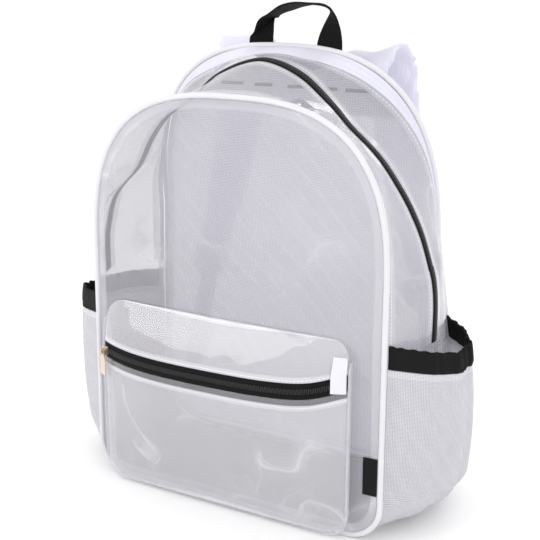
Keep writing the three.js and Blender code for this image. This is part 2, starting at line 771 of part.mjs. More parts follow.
// A plate drawn in x and z, with its thickness along y from a face towards the back.
function plate(shape, frontY, thickness) {
  const geometry = new THREE.ExtrudeGeometry(shape, { ...FLAT, depth: thickness });
  geometry.rotateX(Math.PI / 2);
  geometry.translate(0, frontY + thickness, 0);
  return geometry;
}

function roundedRectangle(width, height, radius) {
  const [x, z] = [width / 2, height / 2];
  const shape = new THREE.Shape();
  shape.moveTo(x - radius, -z);
  shape.absarc(x - radius, radius - z, radius, -Math.PI / 2, 0, false);
  shape.absarc(x - radius, z - radius, radius, 0, Math.PI / 2, false);
  shape.absarc(radius - x, z - radius, radius, Math.PI / 2, Math.PI, false);
  shape.absarc(radius - x, radius - z, radius, Math.PI, 1.5 * Math.PI, false);
  return shape;
}

// The slider: a plate over the coil and a round bridge that the pull's crossbar turns inside.
// Its own origin is the middle of the crossbar.
function pocketSlider() {
  const body = plate(roundedRectangle(SLIDER_LENGTH, SLIDER_HEIGHT, SLIDER_CORNER), BRIDGE_STAND, SLIDER_PLATE);
  const bridge = new THREE.Shape();
  const root = BRIDGE_STAND + SLIDER_PLATE / 2;
  bridge.moveTo(root, BRIDGE_OUTER);
  bridge.lineTo(0, BRIDGE_OUTER);
  bridge.absarc(0, 0, BRIDGE_OUTER, Math.PI / 2, 1.5 * Math.PI, false);
  bridge.lineTo(root, -BRIDGE_OUTER);
  bridge.lineTo(root, -BRIDGE_INNER);
  bridge.lineTo(0, -BRIDGE_INNER);
  bridge.absarc(0, 0, BRIDGE_INNER, 1.5 * Math.PI, Math.PI / 2, true);
  bridge.lineTo(root, BRIDGE_INNER);
  const loop = new THREE.ExtrudeGeometry(bridge, { ...FLAT, depth: BRIDGE_WIDTH });
  loop.translate(0, 0, -BRIDGE_WIDTH / 2);
  loop.applyMatrix4(new THREE.Matrix4().makeBasis(point(0, 1, 0), UP, point(1, 0, 0)));
  return asGeometry(asManifold(body).add(asManifold(loop)));
}

// The pull: an eye with a crossbar at its origin, a neck, and a tab that hangs down.
function pocketPuller() {
  const [neck, half, eye] = [PULL_NECK / 2, PULL_WIDTH / 2, PULL_EYE / 2];
  const crossbar = PULL_WALL / 2;
  const eyeBase = BRIDGE_OUTER + 2 * GAP;
  const shoulder = eyeBase + PULL_SHOULDER;
  const round = PULL_CORNER;
  const shape = new THREE.Shape();
  shape.moveTo(-neck, crossbar);
  shape.lineTo(-neck, -shoulder);
  shape.lineTo(-half, -shoulder - PULL_TAPER);
  shape.absarc(round - half, round - PULL_LENGTH, round, Math.PI, 1.5 * Math.PI, false);
  shape.absarc(half - round, round - PULL_LENGTH, round, 1.5 * Math.PI, 2 * Math.PI, false);
  shape.lineTo(half, -shoulder - PULL_TAPER);
  shape.lineTo(neck, -shoulder);
  shape.lineTo(neck, crossbar);
  const hole = new THREE.Path();
  hole.moveTo(-eye, -crossbar);
  hole.lineTo(eye, -crossbar);
  hole.lineTo(eye, -eyeBase);
  hole.lineTo(-eye, -eyeBase);
  shape.holes.push(hole);
  return plate(shape, -PULL_WALL / 2, PULL_WALL);
}

// Where the crossbar sits, and how far the zip's run is turned there.
function sliderPlace() {
  const x = POCKET_X + SLIDER_ACROSS * POCKET_HALF;
  const z = pocketZipZ(SLIDER_ACROSS);
  const stand = COIL_RISE + GAP + SLIDER_PLATE + BRIDGE_STAND;
  const slope = POCKET_POWER * POCKET_SWELL * Math.abs(SLIDER_ACROSS) ** (POCKET_POWER - 1) / POCKET_HALF;
  const turn = -Math.atan(slope);
  const y = frontFace(x, z) - pocketZipReach(SLIDER_ACROSS);
  return { place: point(x + stand * Math.sin(turn), y - stand * Math.cos(turn), z), turn };
}

// The plain slider at the hidden left end of the main zip, on the coil.
function mainSlider() {
  const { width, length, wall: thickness, corner, lift } = MAIN_SLIDER;
  const shape = roundedRectangle(width, length, corner);
  const turn = ROUND - turnAtHeight(SIDE_SEAM_LEFT + length, ZIP_DEPTH);
  const depth = zipDepth(turn);
  const out = outward(turn, depth);
  const seat = wall(turn, depth).addScaledVector(out, COIL_RISE + GAP);
  const along = wall(turn - NUDGE, depth).sub(wall(turn, depth)).normalize();
  const across = along.clone().cross(out).normalize();
  const normal = across.clone().cross(along);
  const geometry = new THREE.ExtrudeGeometry(shape, { ...FLAT, depth: thickness });
  const frame = new THREE.Matrix4().makeBasis(across, along, normal);
  frame.setPosition(seat.addScaledVector(normal, lift));
  geometry.applyMatrix4(frame);
  return geometry;
}

// White cloth over the top of the back, just outside the mesh.
function backYoke() {
  const inset = INSET + GAP;
  const top = REAR.top - inset;
  const halfAt = (z) => {
    const climb = (z - REAR.springZ) / (top - REAR.springZ);
    return (springHalf(REAR) - inset) * Math.max(1 - Math.max(climb, 0) ** REAR.power, YOKE_TIP) ** (1 / REAR.power);
  };
  const at = (layer) => (a, b) => {
    const z = lerp(YOKE_BASE, top - inset, b);
    const x = lerp(-1, 1, a) * halfAt(z);
    return point(x, backFace(x, z) + GAP + (1 - layer) * CLOTH_WALL, z);
  };
  return sheet(12, 6, at(0), at(1));
}

function yokeFace(x, z) {
  return backFace(x, z) + GAP + CLOTH_WALL;
}

// A flat band along a path. Each place has its middle, the way its width runs and its width and thickness.
// The width is made square to the path, unless the band is skewed.
function band(places, sides, skewed = false) {
  const loops = places.map(({ middle, along, wide, width, thick }) => {
    const run = along.clone().normalize();
    const side = wide.clone().addScaledVector(run, skewed ? 0 : -wide.dot(run)).normalize();
    const face = side.clone().cross(run).normalize();
    return sides.map(([s, t]) => middle.clone()
      .addScaledVector(side, s * width / 2)
      .addScaledVector(face, t * thick / 2));
  });
  return sweep(loops);
}

const FLAT_SECTION = [[-1, -1], [1, -1], [1, 1], [-1, 1]];
const PADDED_SECTION = [[-1, -0.3], [-0.86, -1], [0.86, -1], [1, -0.3], [1, 0.3], [0.86, 1], [-0.86, 1], [-1, 0.3]];

// A table's rows, each with its share of the way through the table.
function withShares(rows) {
  return rows.map((row, i) => ({ ...row, at: i / (rows.length - 1) }));
}

// The carry handle: both ends lie flat on the yoke, and the webbing turns its outer edge forward over the top.
// The twist is how far it is turned forward, and the tilt the slope of the way from its outer edge to its inner.
function haulHandle() {
  const off = GAP + WEBBING_WALL / 2;
  const crest = REAR.top + INSET;
  const rows = withShares(HANDLE_ROWS);
  const yAt = (z) => Math.max(yokeFace(HANDLE_HALF, Math.min(z, REAR.top - INSET)), REAR.yTop + INSET) + off;
  const at = (t) => {
    const way = clamp(t, 0, 1);
    const drop = (crest - HANDLE_FOOT) * Math.abs(t - way) / HANDLE_LEG_SHARE;
    const rise = (HANDLE_TOP - WEBBING_WALL / 2 - crest) * tableAt(rows, 'at', 'up', way);
    const z = crest + rise - drop;
    return point(HANDLE_X + HANDLE_HALF * tableAt(rows, 'at', 'across', way), yAt(z), z);
  };
  const places = [];
  for (let i = 0; i <= HANDLE_STEPS; i += 1) {
    const t = lerp(-HANDLE_LEG_SHARE, 1 + HANDLE_LEG_SHARE, i / HANDLE_STEPS);
    const along = at(t + NUDGE).sub(at(t - NUDGE)).normalize();
    const [twist, tilt] = ['twist', 'tilt'].map((column) => degToRad(tableAt(rows, 'at', column, t)));
    const wide = point(Math.cos(twist) * Math.cos(tilt), Math.sin(twist), Math.cos(twist) * Math.sin(tilt));
    places.push({ middle: at(t), along, wide, width: WEBBING_WIDTH, thick: WEBBING_WALL });
  }
  return band(places, FLAT_SECTION, true);
}

// Middle of a shoulder strap at a share of the way down.
function strapPlace(side, share) {
  const rows = withShares(side > 0 ? RIGHT_STRAP_ROWS : LEFT_STRAP_ROWS);
  const value = (column) => tableAt(rows, 'at', column, share);
  const middle = point(side * STRAP_X * value('x'), STRAP_BACK * value('back'), REAR.top * value('up'));
  const [lean, swing] = [degToRad(value('lean')), degToRad(value('swing'))];
  const wide = point(side * Math.cos(lean) * Math.cos(swing), Math.sin(swing), Math.sin(lean));
  return { middle, wide, width: STRAP_WIDTH * value('width') };
}

function shoulderStrap(side) {
  const places = [];
  for (let i = 0; i <= STRAP_STEPS; i += 1) {
    const share = i / STRAP_STEPS;
    const { middle, wide, width } = strapPlace(side, share);
    const along = strapPlace(side, Math.min(share + NUDGE, 1)).middle
      .sub(strapPlace(side, Math.max(share - NUDGE, 0)).middle);
    places.push({ middle, along, wide, width, thick: STRAP_THICK });
  }
  return band(places, PADDED_SECTION);
}

// Where webbing that lies on the back has its middle, clear of the fullest place under its width.
function besideBack(place) {
  const fullest = Math.abs(place.x) - LOWER_WEBBING_WIDTH / 2;
  return backFace(fullest, place.z) + GAP + LOWER_WEBBING_WALL;
}

// The frame at a strap's lower end: its buckle's middle, the way down to the anchor, and the way back.
function lowerFrame(side) {
  const end = strapPlace(side, 1).middle;
  const anchor = point(side * ANCHOR_X, 0, ANCHOR_Z);
  anchor.y = besideBack(anchor);
  const down = anchor.clone().sub(end).normalize();
  const wide = point(1, 0, 0).addScaledVector(down, -down.x).normalize();
  const back = down.clone().cross(wide).normalize();
  if (back.y < 0) back.negate();
  const buckle = end.clone().addScaledVector(down, BUCKLE_HEIGHT / 2 + GAP + BUCKLE_DROP);
  return { buckle, anchor, down, wide, back };
}

function strapBuckle(side) {
  const { buckle, down, back } = lowerFrame(side);
  const shape = roundedRectangle(BUCKLE_WIDTH, BUCKLE_HEIGHT, BUCKLE_CORNER);
  const slotHalf = (LOWER_WEBBING_WIDTH + SLOT_SLACK) / 2;
  for (const middle of [-SLOT_OFFSET, SLOT_OFFSET]) {
    const [low, high] = [middle - SLOT_HEIGHT / 2, middle + SLOT_HEIGHT / 2];
    const slot = new THREE.Path();
    slot.moveTo(-slotHalf, low);
    slot.lineTo(slotHalf, low);
    slot.lineTo(slotHalf, high);
    slot.lineTo(-slotHalf, high);
    shape.holes.push(slot);
  }
  const geometry = new THREE.ExtrudeGeometry(shape, { ...FLAT, depth: BUCKLE_WALL });
  geometry.translate(0, 0, -BUCKLE_WALL / 2);
  const up = down.clone().negate();
  const right = up.clone().cross(back).normalize();
  const frame = new THREE.Matrix4().makeBasis(right, up, back);
  frame.setPosition(buckle);
  geometry.applyMatrix4(frame);
  return geometry;
}

function strapWebbing(side) {
  const { buckle, anchor, down, wide, back } = lowerFrame(side);
  const off = BUCKLE_WALL / 2 + 3 * GAP + LOWER_WEBBING_WALL / 2;
  const start = buckle.clone().addScaledVector(back, off).addScaledVector(down, -BUCKLE_HEIGHT / 4);
  const along = anchor.clone().sub(start);
  const places = [0, 0.5, 1].map((share) => {
    const middle = start.clone().lerp(anchor, share);
    return { middle, along, wide, width: LOWER_WEBBING_WIDTH, thick: LOWER_WEBBING_WALL };
  });
  return band(places, FLAT_SECTION);
}

// The bare tag beside the right side of the front piping.
function sideTag() {
  const at = (layer) => (a, b) => {
    const z = lerp(TAG_BASE, TAG_TOP, b);
    const edge = rim(FRONT, turnAtHeight(z, 0)).x - INSET;
    const x = edge - TAG_WIDTH * (1 - a);
    return point(x, frontFace(x, z) - GAP - (1 - layer) * TAG_WALL, z);
  };
  return sheet(1, 1, at(0), at(1));
}

const clearPlastic = { color: 0xdfe2ea, roughness: 0.12, metalness: 0 };
const whiteMesh = { color: 0xe6e6ee, roughness: 0.85, metalness: 0 };
const whiteCloth = { color: 0xe4e3ef, roughness: 0.8, metalness: 0 };
const blackTape = { color: 0x202124, roughness: 0.7, metalness: 0 };
const whitePlastic = { color: 0xe4e4ea, roughness: 0.4, metalness: 0 };
const nickel = { color: 0xc9c0b2, roughness: 0.3, metalness: 1 };

const bag = new THREE.Group();

function add(name, geometry, look, parent = bag) {
  const mesh = new THREE.Mesh(geometry, new THREE.MeshStandardMaterial(look));
  mesh.name = name;
  parent.add(mesh);
  return mesh;
}

const zipFront = (turn) => zipDepth(turn) - depthShare(turn, ZIP_TAPE / 2 + GAP);
const zipRear = (turn) => zipDepth(turn) + depthShare(turn, ZIP_TAPE / 2 + GAP);
const frontEdge = (turn) => depthShare(turn, INSET);
const rearEdge = (turn) => 1 - depthShare(turn, INSET);
const stripEdge = (turn) => edgeStripDepth(turn) - depthShare(turn, GAP);

add('front_panel', rimFace(FRONT, CLEAR_WALL, frontFace, -1), clearPlastic);
add('front_piping', piping(FRONT), whiteCloth);
add('gusset_front', archStrip(ARCH_STEPS, 2, CLEAR_WALL, frontEdge, zipFront), clearPlastic);
add('main_zip', mainZip(), blackTape);
add('main_slider', mainSlider(), nickel);
add('gusset_rear', archStrip(ARCH_STEPS, 1, CLEAR_WALL, zipRear, stripEdge), clearPlastic);
add('rear_edge_strip', archStrip(ARCH_STEPS, 1, CLOTH_WALL, edgeStripDepth, rearEdge), whiteCloth);
add('rear_piping', piping(REAR), whiteCloth);
add('base_panel', basePanel(), clearPlastic);
add('back_panel', rimFace(REAR, MESH_WALL, backFace, 1), whiteMesh);
add('back_yoke', backYoke(), whiteCloth);
add('haul_handle', haulHandle(), blackTape);
for (const [word, side] of [['left', -1], ['right', 1]]) {
  add(`side_panel_${word}`, sidePanel(side), clearPlastic);
  add(`side_pocket_${word}`, sidePocket(side), whiteMesh);
  add(`pocket_binding_${word}`, pocketBinding(side), blackTape);
  add(`shoulder_strap_${word}`, shoulderStrap(side), whiteCloth);
  add(`strap_buckle_${word}`, strapBuckle(side), whitePlastic);
  add(`strap_webbing_${word}`, strapWebbing(side), whiteCloth);
}
add('pocket_gusset', pocketGusset(), clearPlastic);
add('pocket_front', pocketFront(), clearPlastic);
add('pocket_piping', pocketPiping(), clearPlastic);
add('zip_welt', zipWelt(), clearPlastic);
add('pocket_zip', pocketZip(), blackTape);
add('pocket_top_band', pocketTopBand(), clearPlastic);
add('zip_end_tab', zipEndTab(), whiteCloth);
add('side_tag', sideTag(), blackTape);

const pull = new THREE.Group();
const { place, turn } = sliderPlace();
pull.position.copy(place);
pull.rotation.z = turn;
bag.add(pull);
add('pocket_slider', pocketSlider(), nickel, pull);
add('pocket_puller', pocketPuller(), nickel, pull);

// The bag's origin is the middle of its base.
bag.updateMatrixWorld(true);
const bounds = new THREE.Box3().setFromObject(bag, true);
const centre = bounds.getCenter(new THREE.Vector3());
bag.position.set(-centre.x, -centre.y, -bounds.min.z);

export default bag;
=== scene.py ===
"""Dresses the solids of a clear stadium backpack: clear film, knitted net, cloth, webbing, zips and nickel.

Lengths are in millimetres until a mesh is made. The walls are drawn on one surface that is ruled between the
front rim and the rear rim: a turn (0 at the middle of the base, 1 to 2 round a lower corner, 3 where the arch
springs, 4 at the top, down the left side to 8) and a depth (0 at the front rim, 1 at the rear rim).
"""

import math

import bpy
import numpy as np
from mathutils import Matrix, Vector


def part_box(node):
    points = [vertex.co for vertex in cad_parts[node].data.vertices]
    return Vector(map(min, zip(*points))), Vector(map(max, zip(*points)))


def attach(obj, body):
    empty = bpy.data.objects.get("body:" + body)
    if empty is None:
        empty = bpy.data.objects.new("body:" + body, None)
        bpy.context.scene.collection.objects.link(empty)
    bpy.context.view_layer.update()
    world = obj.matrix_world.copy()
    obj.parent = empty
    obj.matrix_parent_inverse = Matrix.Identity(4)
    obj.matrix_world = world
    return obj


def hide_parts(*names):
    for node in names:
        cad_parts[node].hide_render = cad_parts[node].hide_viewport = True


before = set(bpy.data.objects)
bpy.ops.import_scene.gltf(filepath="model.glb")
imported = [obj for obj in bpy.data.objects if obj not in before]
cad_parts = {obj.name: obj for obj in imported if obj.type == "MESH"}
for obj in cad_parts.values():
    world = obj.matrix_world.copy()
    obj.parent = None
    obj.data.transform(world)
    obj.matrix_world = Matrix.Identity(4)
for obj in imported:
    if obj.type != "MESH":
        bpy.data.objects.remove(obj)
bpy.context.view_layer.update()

MM = 0.001
GAP = 0.3
CLEAR_WALL = 1.2
FILM = 0.7
NET = 0.6
CLOTH = 1.0
PIPING_RADIUS = 2.6
PIPING_SIDES = 14
INSET = PIPING_RADIUS + GAP

# Rims: half width at the base and where the arch springs, heights, the arch's power and the lean in y
FRONT = {"half": 151, "spring": 150, "spring_z": 226, "top": 382, "power": 2.8, "corner": 32,
         "y_base": -74, "y_top": -69}
REAR = {"half": 170, "spring": 149, "spring_z": 252, "top": 418, "power": 2.7, "corner": 45,
        "y_base": 74, "y_top": 28}
FRONT_BELLY = 5
BACK_BELLY = 12
BELLY_POWER = 3
WALL_SWELL = 21
SWELL_ROWS = [(0, 0), (1.6, 0), (2.2, 0.65), (2.75, 1), (2.95, 0.95), (3.08, 0.52), (3.2, 0.05), (3.35, -0.5),
              (3.55, -0.9), (3.7, -0.6), (3.85, 0.04), (4, 0.35), (4.15, -0.1), (4.3, -0.9), (4.45, -1),
              (4.6, -0.9), (4.75, -0.45), (4.9, 1), (5.05, 1.45), (5.25, 1.4), (5.55, 1.5), (5.9, 1.3),
              (6.25, 0.7), (6.5, 0.15), (6.7, 0), (8, 0)]

# Arch
ZIP_DEPTH = 0.46
ZIP_TAPE = 9
ZIP_ROWS = [(2.6, 0.44), (2.9, 0.47), (3.1, 0.49), (3.3, 0.45), (3.55, 0.427), (3.75, 0.475), (3.9, 0.53),
            (4, 0.56)]
MAIN_ZIP_LENGTH = 780
POCKET_ZIP_LENGTH = 268
COIL_WIDTH = 5
COIL_RISE = 1.2
COIL_WIRE = 0.62
COIL_LEAN = 0.25
TOOTH_PITCH = 1.9
EDGE_STRIP_WIDTH = 30
EDGE_STRIP_ROWS = [(2.6, 0.13), (3.3, 0.14), (3.45, 0.24), (3.6, 0.32), (3.75, 0.47), (3.9, 0.8), (4, 0.88)]
SIDE_SEAM = {1: 174, -1: 188}
BASE_SEAM_TURN = 1.5

# Side pockets
SIDE_POCKET_SWELL = 29
SIDE_POCKET_FOOT = 1.34
SIDE_POCKET_POWER = 2.4
MOUTH_FRONT = 184
MOUTH_REAR = 177
MOUTH_DIP = 12
BINDING_HEIGHT = 13
BINDING_WALL = 2.4
SIDE_POCKET_ROWS = [(0, 0), (0.1, 0.2), (0.3, 0.68), (0.55, 0.94), (0.8, 1), (1, 0.86)]

# Front pocket
POCKET_X = -6
POCKET_HALF = 128.5
POCKET_BASE = 5
POCKET_TOP = 184
POCKET_CORNER = 18
POCKET_EDGE = 10
POCKET_SWELL = 16
POCKET_POWER = 4
TOP_BAND_POWER = 1.5
POCKET_ZIP_Z = 135
POCKET_ZIP_TAPE = 15
WELT_HEIGHT = 5
WELT_RADIUS = 1.3
ZIP_RISE = 15
ZIP_RISE_ROWS = [(-1, 0), (-0.5, -0.05), (0, 0), (0.45, 0.12), (0.75, 0.36), (1, 1)]
POCKET_FILL_ROWS = [(0, 0.12), (0.3, 0.55), (0.7, 0.92), (1, 1)]
END_TAB = {"width": 12, "base": 141, "top": 172, "wall": 1}

# Back, handle and straps
YOKE_BASE = 357
HANDLE_X = 7.5
HANDLE_HALF = 35.5
HANDLE_TOP = 457
HANDLE_FOOT = 379
HANDLE_LEG_SHARE = 0.25
# Over the top of the handle: across, height, twist and tilt in degrees
HANDLE_ROWS = [(-1, 0, 0, 0), (-0.98, 0.18, 2, 12), (-0.94, 0.35, 10, 30), (-0.85, 0.5, 45, 42),
               (-0.67, 0.66, 86, -10), (-0.25, 0.87, 80, -60), (0.15, 0.975, 82, -80), (0.6, 0.985, 87, -108),
               (0.95, 0.9, 72, -145), (1.05, 0.72, 52, -172), (1.05, 0.45, 30, -180), (1.02, 0.2, 12, -180),
               (1, 0, 0, -180)]
WEBBING_WIDTH = 25
WEBBING_WALL = 2
STRAP_X = 85
STRAP_BACK = 92
STRAP_WIDTH = 58
STRAP_THICK = 8
STRAP_SWELL_ROOM = 1.6
# Along a shoulder strap: x, height, distance behind, width, lean and swing in degrees
RIGHT_STRAP_ROWS = [(0.72, 0.905, 0.498, 0.86, 0, 0), (0.78, 0.95, 0.58, 0.95, 7, 8),
                    (0.865, 0.983, 0.73, 1, 12, 15), (0.905, 0.968, 0.88, 1, 11, 14),
                    (0.93, 0.92, 0.965, 1, 7, 10), (0.985, 0.86, 1, 1, 2, 5), (1.1, 0.74, 1.02, 0.97, 0, 0),
                    (1.27, 0.6, 1, 0.85, 0, 0), (1.42, 0.475, 0.95, 0.62, 0, 0)]
LEFT_STRAP_ROWS = [(0.7, 0.905, 0.498, 0.86, 0, 0), (0.73, 0.963, 0.58, 0.95, -1, -5),
                   (0.77, 1.004, 0.73, 0.98, -3, -10), (0.83, 0.99, 0.88, 1, -3, -9),
                   (0.9, 0.925, 0.965, 1, -1, -5), (0.98, 0.86, 1, 1, 0, 0)] + RIGHT_STRAP_ROWS[6:]
LOWER_WEBBING = {"width": 20, "wall": 1.5}
ANCHOR = (146, 28)
BUCKLE_WALL = 4
BUCKLE_HEIGHT = 26
BUCKLE_DROP = 2
TAG = {"width": 13, "base": 46, "top": 81, "wall": 1}
# Bartacks that hold the handle and the straps, seen on the inner side of the back: place across and length
BARTACKS = [(-62, 24), (-28, 19), (6, 16), (43, 13), (70, 24)]
BARTACK = {"z": 380, "width": 3.0, "wall": 0.9, "tilt": 0.8, "sink": 0.6}

# Sheets as they are cut, in metres, and how the padding is blown up: voxel and cap in metres, and frames
PADDING = {"voxel": 0.004, "pressure": 4.0, "cap": 0.003, "frames": 20, "fill": 0.7}

# Camera: the focal length and the frame's width in pixels, and the sensor in millimetres
FOCAL_PX = 1096
FRAME_PX = 540
SENSOR = 36

TOP = 4
ROUND = 2 * TOP
NUDGE = 1e-3

# The front piping is level across, and its lowest loop is where it reaches furthest forward.
piping_low, piping_high = (np.array(corner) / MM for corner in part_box("front_piping"))
base_lean = FRONT["y_base"] + (FRONT["y_top"] - FRONT["y_base"]) * PIPING_RADIUS / FRONT["top"]
SHIFT = np.array([(piping_low[0] + piping_high[0]) / 2,
                  piping_low[1] - base_lean + PIPING_RADIUS * math.sin(math.pi / 3), 0])


def blend(a, b, share):
    """The value that lies a share of the way from a to b."""
    return a + (b - a) * share


def ease(value, low, high):
    """0 below low, 1 above high, and a smooth rise between them."""
    t = np.clip((value - low) / (high - low), 0, 1)
    return t * t * (3 - 2 * t)


def unit(vectors):
    """Each vector divided by its length."""
    return vectors / np.maximum(np.linalg.norm(vectors, axis=-1, keepdims=True), 1e-9)


def spot(x, y, z):
    """Points from their three places, with the last axis for x, y and z."""
    return np.stack(np.broadcast_arrays(x, y, z), -1).astype(float)


def along_rows(rows, at, column=1):
    """Smooth value of a column of a table, by its first column: a cubic through the rows with even slopes."""
    table = np.array(rows, float)
    keys, values = table[:, 0], table[:, column]
    at = np.clip(at, keys[0], keys[-1])
    i = np.clip(np.searchsorted(keys, at, side="right") - 1, 0, len(keys) - 2)
    before, after = np.maximum(i - 1, 0), np.minimum(i + 2, len(keys) - 1)
    span = keys[i + 1] - keys[i]
    t = (at - keys[i]) / span
    start = (values[i + 1] - values[before]) / (keys[i + 1] - keys[before]) * span
    end = (values[after] - values[i]) / (keys[after] - keys[i]) * span
    rise = t * t * (3 - 2 * t)
    return blend(values[i], values[i + 1], rise) + t * (1 - t) ** 2 * start - t * t * (1 - t) * end


def arch_rows(panel):
    """Quarter of a superellipse from the spring to the top: x, z and the share of its length."""
    angle = (1 - np.cos(np.linspace(0, math.pi, 400))) * math.pi / 4
    x = panel["spring"] * np.clip(np.cos(angle), 0, 1) ** (2 / panel["power"])
    z = panel["spring_z"] + (panel["top"] - panel["spring_z"]) * np.sin(angle) ** (2 / panel["power"])
    length = np.concatenate([[0], np.cumsum(np.hypot(np.diff(x), np.diff(z)))])
    return x, z, length / length[-1]


for panel in (FRONT, REAR):
    panel["arch"] = arch_rows(panel)


def rim(panel, turn):
    """Seam line of a rim: straight base, round corner, straight side, superellipse; mirrored past the top."""
    turn = np.asarray(turn, float) % ROUND
    at = np.minimum(turn, ROUND - turn)
    corner, half = panel["corner"], panel["half"]
    corner_z = PIPING_RADIUS + corner
    angle = (at - 1) * math.pi / 2
    arch_x, arch_z, share = panel["arch"]
    zones = [at <= 1, at <= 2, at <= 3]
    x = np.select(zones, [(half - corner) * at, half - corner * (1 - np.sin(angle)),
                          blend(half, panel["spring"], at - 2)], np.interp(at - 3, share, arch_x))
    z = np.select(zones, [np.full_like(at, PIPING_RADIUS), corner_z - corner * np.cos(angle),
                          blend(corner_z, panel["spring_z"], at - 2)], np.interp(at - 3, share, arch_z))
    lean = blend(panel["y_base"], panel["y_top"], z / panel["top"])
    return spot(np.where(turn <= TOP, x, -x), lean, z)


def outward(turn, depth):
    """Way out of the bag: square to the blended run of both rims, with no part along y."""
    def run(panel):
        return rim(panel, turn + NUDGE) - rim(panel, turn - NUDGE)
    along = blend(run(FRONT), run(REAR), np.asarray(depth)[..., None])
    return unit(spot(along[..., 2], 0, -along[..., 0]))


def wall(turn, depth):
    """Outer face of the walls: the ruled surface, swollen outwards between the rims by the swell rows."""
    turn, depth = np.broadcast_arrays(np.asarray(turn, float), np.asarray(depth, float))
    at = np.minimum(turn % ROUND, ROUND - turn % ROUND)
    swell = WALL_SWELL * along_rows(SWELL_ROWS, turn % ROUND) * np.sin(math.pi * depth)
    foot = PIPING_RADIUS * (1 - ease(at, 1, 2))
    seam = blend(rim(FRONT, turn), rim(REAR, turn), depth[..., None])
    return seam + outward(turn, depth) * (swell + foot)[..., None]


def wall_normal(turn, depth):
    """Way out of a wall: the cross product of its steps along the depth and along the turn."""
    along = wall(turn + NUDGE, depth) - wall(turn - NUDGE, depth)
    back = wall(turn, depth + NUDGE) - wall(turn, depth - NUDGE)
    return unit(np.cross(back, along))


def depth_share(turn, length):
    """How much of the depth a length is, at a turn."""
    return length / np.linalg.norm(rim(FRONT, turn) - rim(REAR, turn), axis=-1)


def turn_at_height(z, depth):
    """Turn at which a side wall reaches a height."""
    def share(panel):
        low = PIPING_RADIUS + panel["corner"]
        return (z - low) / (panel["spring_z"] - low)
    return 2 + blend(share(FRONT), share(REAR), depth)


def belly_share(panel, x, z):
    """How full a face bellies: a parabola across times a flat-topped curve up it."""
    across = np.maximum(1 - (x / panel["spring"]) ** 2, 0)
    upright = np.maximum(1 - np.abs(2 * z / panel["top"] - 1) ** BELLY_POWER, 0)
    return across * upright


def front_face(x, z):
    """How far back the outer side of the front is: its lean, less its belly and half its wall."""
    lean = blend(FRONT["y_base"], FRONT["y_top"], z / FRONT["top"])
    return lean - FRONT_BELLY * belly_share(FRONT, x, z) - CLEAR_WALL / 2


def back_face(x, z):
    """How far back the outer side of the back is: its lean with its belly and half its wall."""
    lean = blend(REAR["y_base"], REAR["y_top"], z / REAR["top"])
    return lean + BACK_BELLY * belly_share(REAR, x, z) + CLEAR_WALL / 2


def ripple(place, size, length, seed):
    """Gentle unevenness: a sum of four plane waves of about one length, with fixed directions by seed."""
    total = 0
    for wave in range(4):
        angle = seed * 1.7 + wave * 2.399
        tilt = math.sin(seed * 0.9 + wave * 1.3)
        way = np.array([math.cos(angle), tilt, math.sin(angle)])
        total = total + np.sin(place @ way * 2 * math.pi / (length * (1 + 0.23 * wave)) + wave * 1.9 + seed)
    return size * total / 4


# Meshes

def joined_loops(count, size, closed):
    """Quads between neighbouring loops, and across both ends of a run, as places on the grid of loops."""
    spans = count if closed else count - 1
    i, k = (part.ravel() for part in np.meshgrid(np.arange(spans), np.arange(size), indexing="ij"))
    row = np.stack([i, i, i + 1, i + 1], -1)
    col = np.stack([k, k + 1, k + 1, k], -1)
    if closed:
        return row, col
    k = np.arange(size // 2 - 1)
    cap_col = np.stack([k, k + 1, size - 2 - k, size - 1 - k], -1)
    first = np.zeros_like(cap_col)
    last = np.full_like(cap_col, count - 1)
    return np.concatenate([row, first, last]), np.concatenate([col, cap_col[:, ::-1], cap_col])


def make_object(name, points, faces, corners, finish, hem=None, sharp=50):
    """Object at the origin with its place in its mesh: points in millimetres, faces turned to point out."""
    points = (np.asarray(points, float).reshape(-1, 3) + SHIFT) * MM
    quads = [list(dict.fromkeys(face)) for face in faces.tolist()]
    mesh = bpy.data.meshes.new(name)
    mesh.from_pydata(points.tolist(), [], quads)
    if corners is not None and all(len(face) == 4 for face in quads):
        layer = mesh.uv_layers.new(name="cloth")
        layer.data.foreach_set("uv", (corners * MM).ravel())
    if hem is not None:
        attribute = mesh.attributes.new("hem", "FLOAT", "POINT")
        attribute.data.foreach_set("value", (np.asarray(hem) * MM).ravel())
    a, b, c = points[faces[:, 0]], points[faces[:, 1]], points[faces[:, 2]]
    d = points[faces[:, 3]]
    middle = points.mean(axis=0)
    volume = np.einsum("ij,ij->", a - middle, np.cross(b - middle, c - middle))
    volume += np.einsum("ij,ij->", a - middle, np.cross(c - middle, d - middle))
    if volume < 0:
        mesh.flip_normals()
    mesh.polygons.foreach_set("use_smooth", [True] * len(mesh.polygons))
    mesh.set_sharp_from_angle(angle=math.radians(sharp))
    mesh.materials.append(finish)
    mesh.validate()
    item = bpy.data.objects.new(name, mesh)
    bpy.context.collection.objects.link(item)
    return item


def settle(item, slot, *nodes):
    """The piece rides on the bag and stands for its nodes, which are hidden; its slot is not used."""
    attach(item, "bag")
    if nodes:
        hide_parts(*nodes)
    return item


def run_lengths(points):
    """Distance along a row of points."""
    steps = np.linalg.norm(np.diff(points, axis=0), axis=-1)
    return np.concatenate([[0], np.cumsum(steps)])


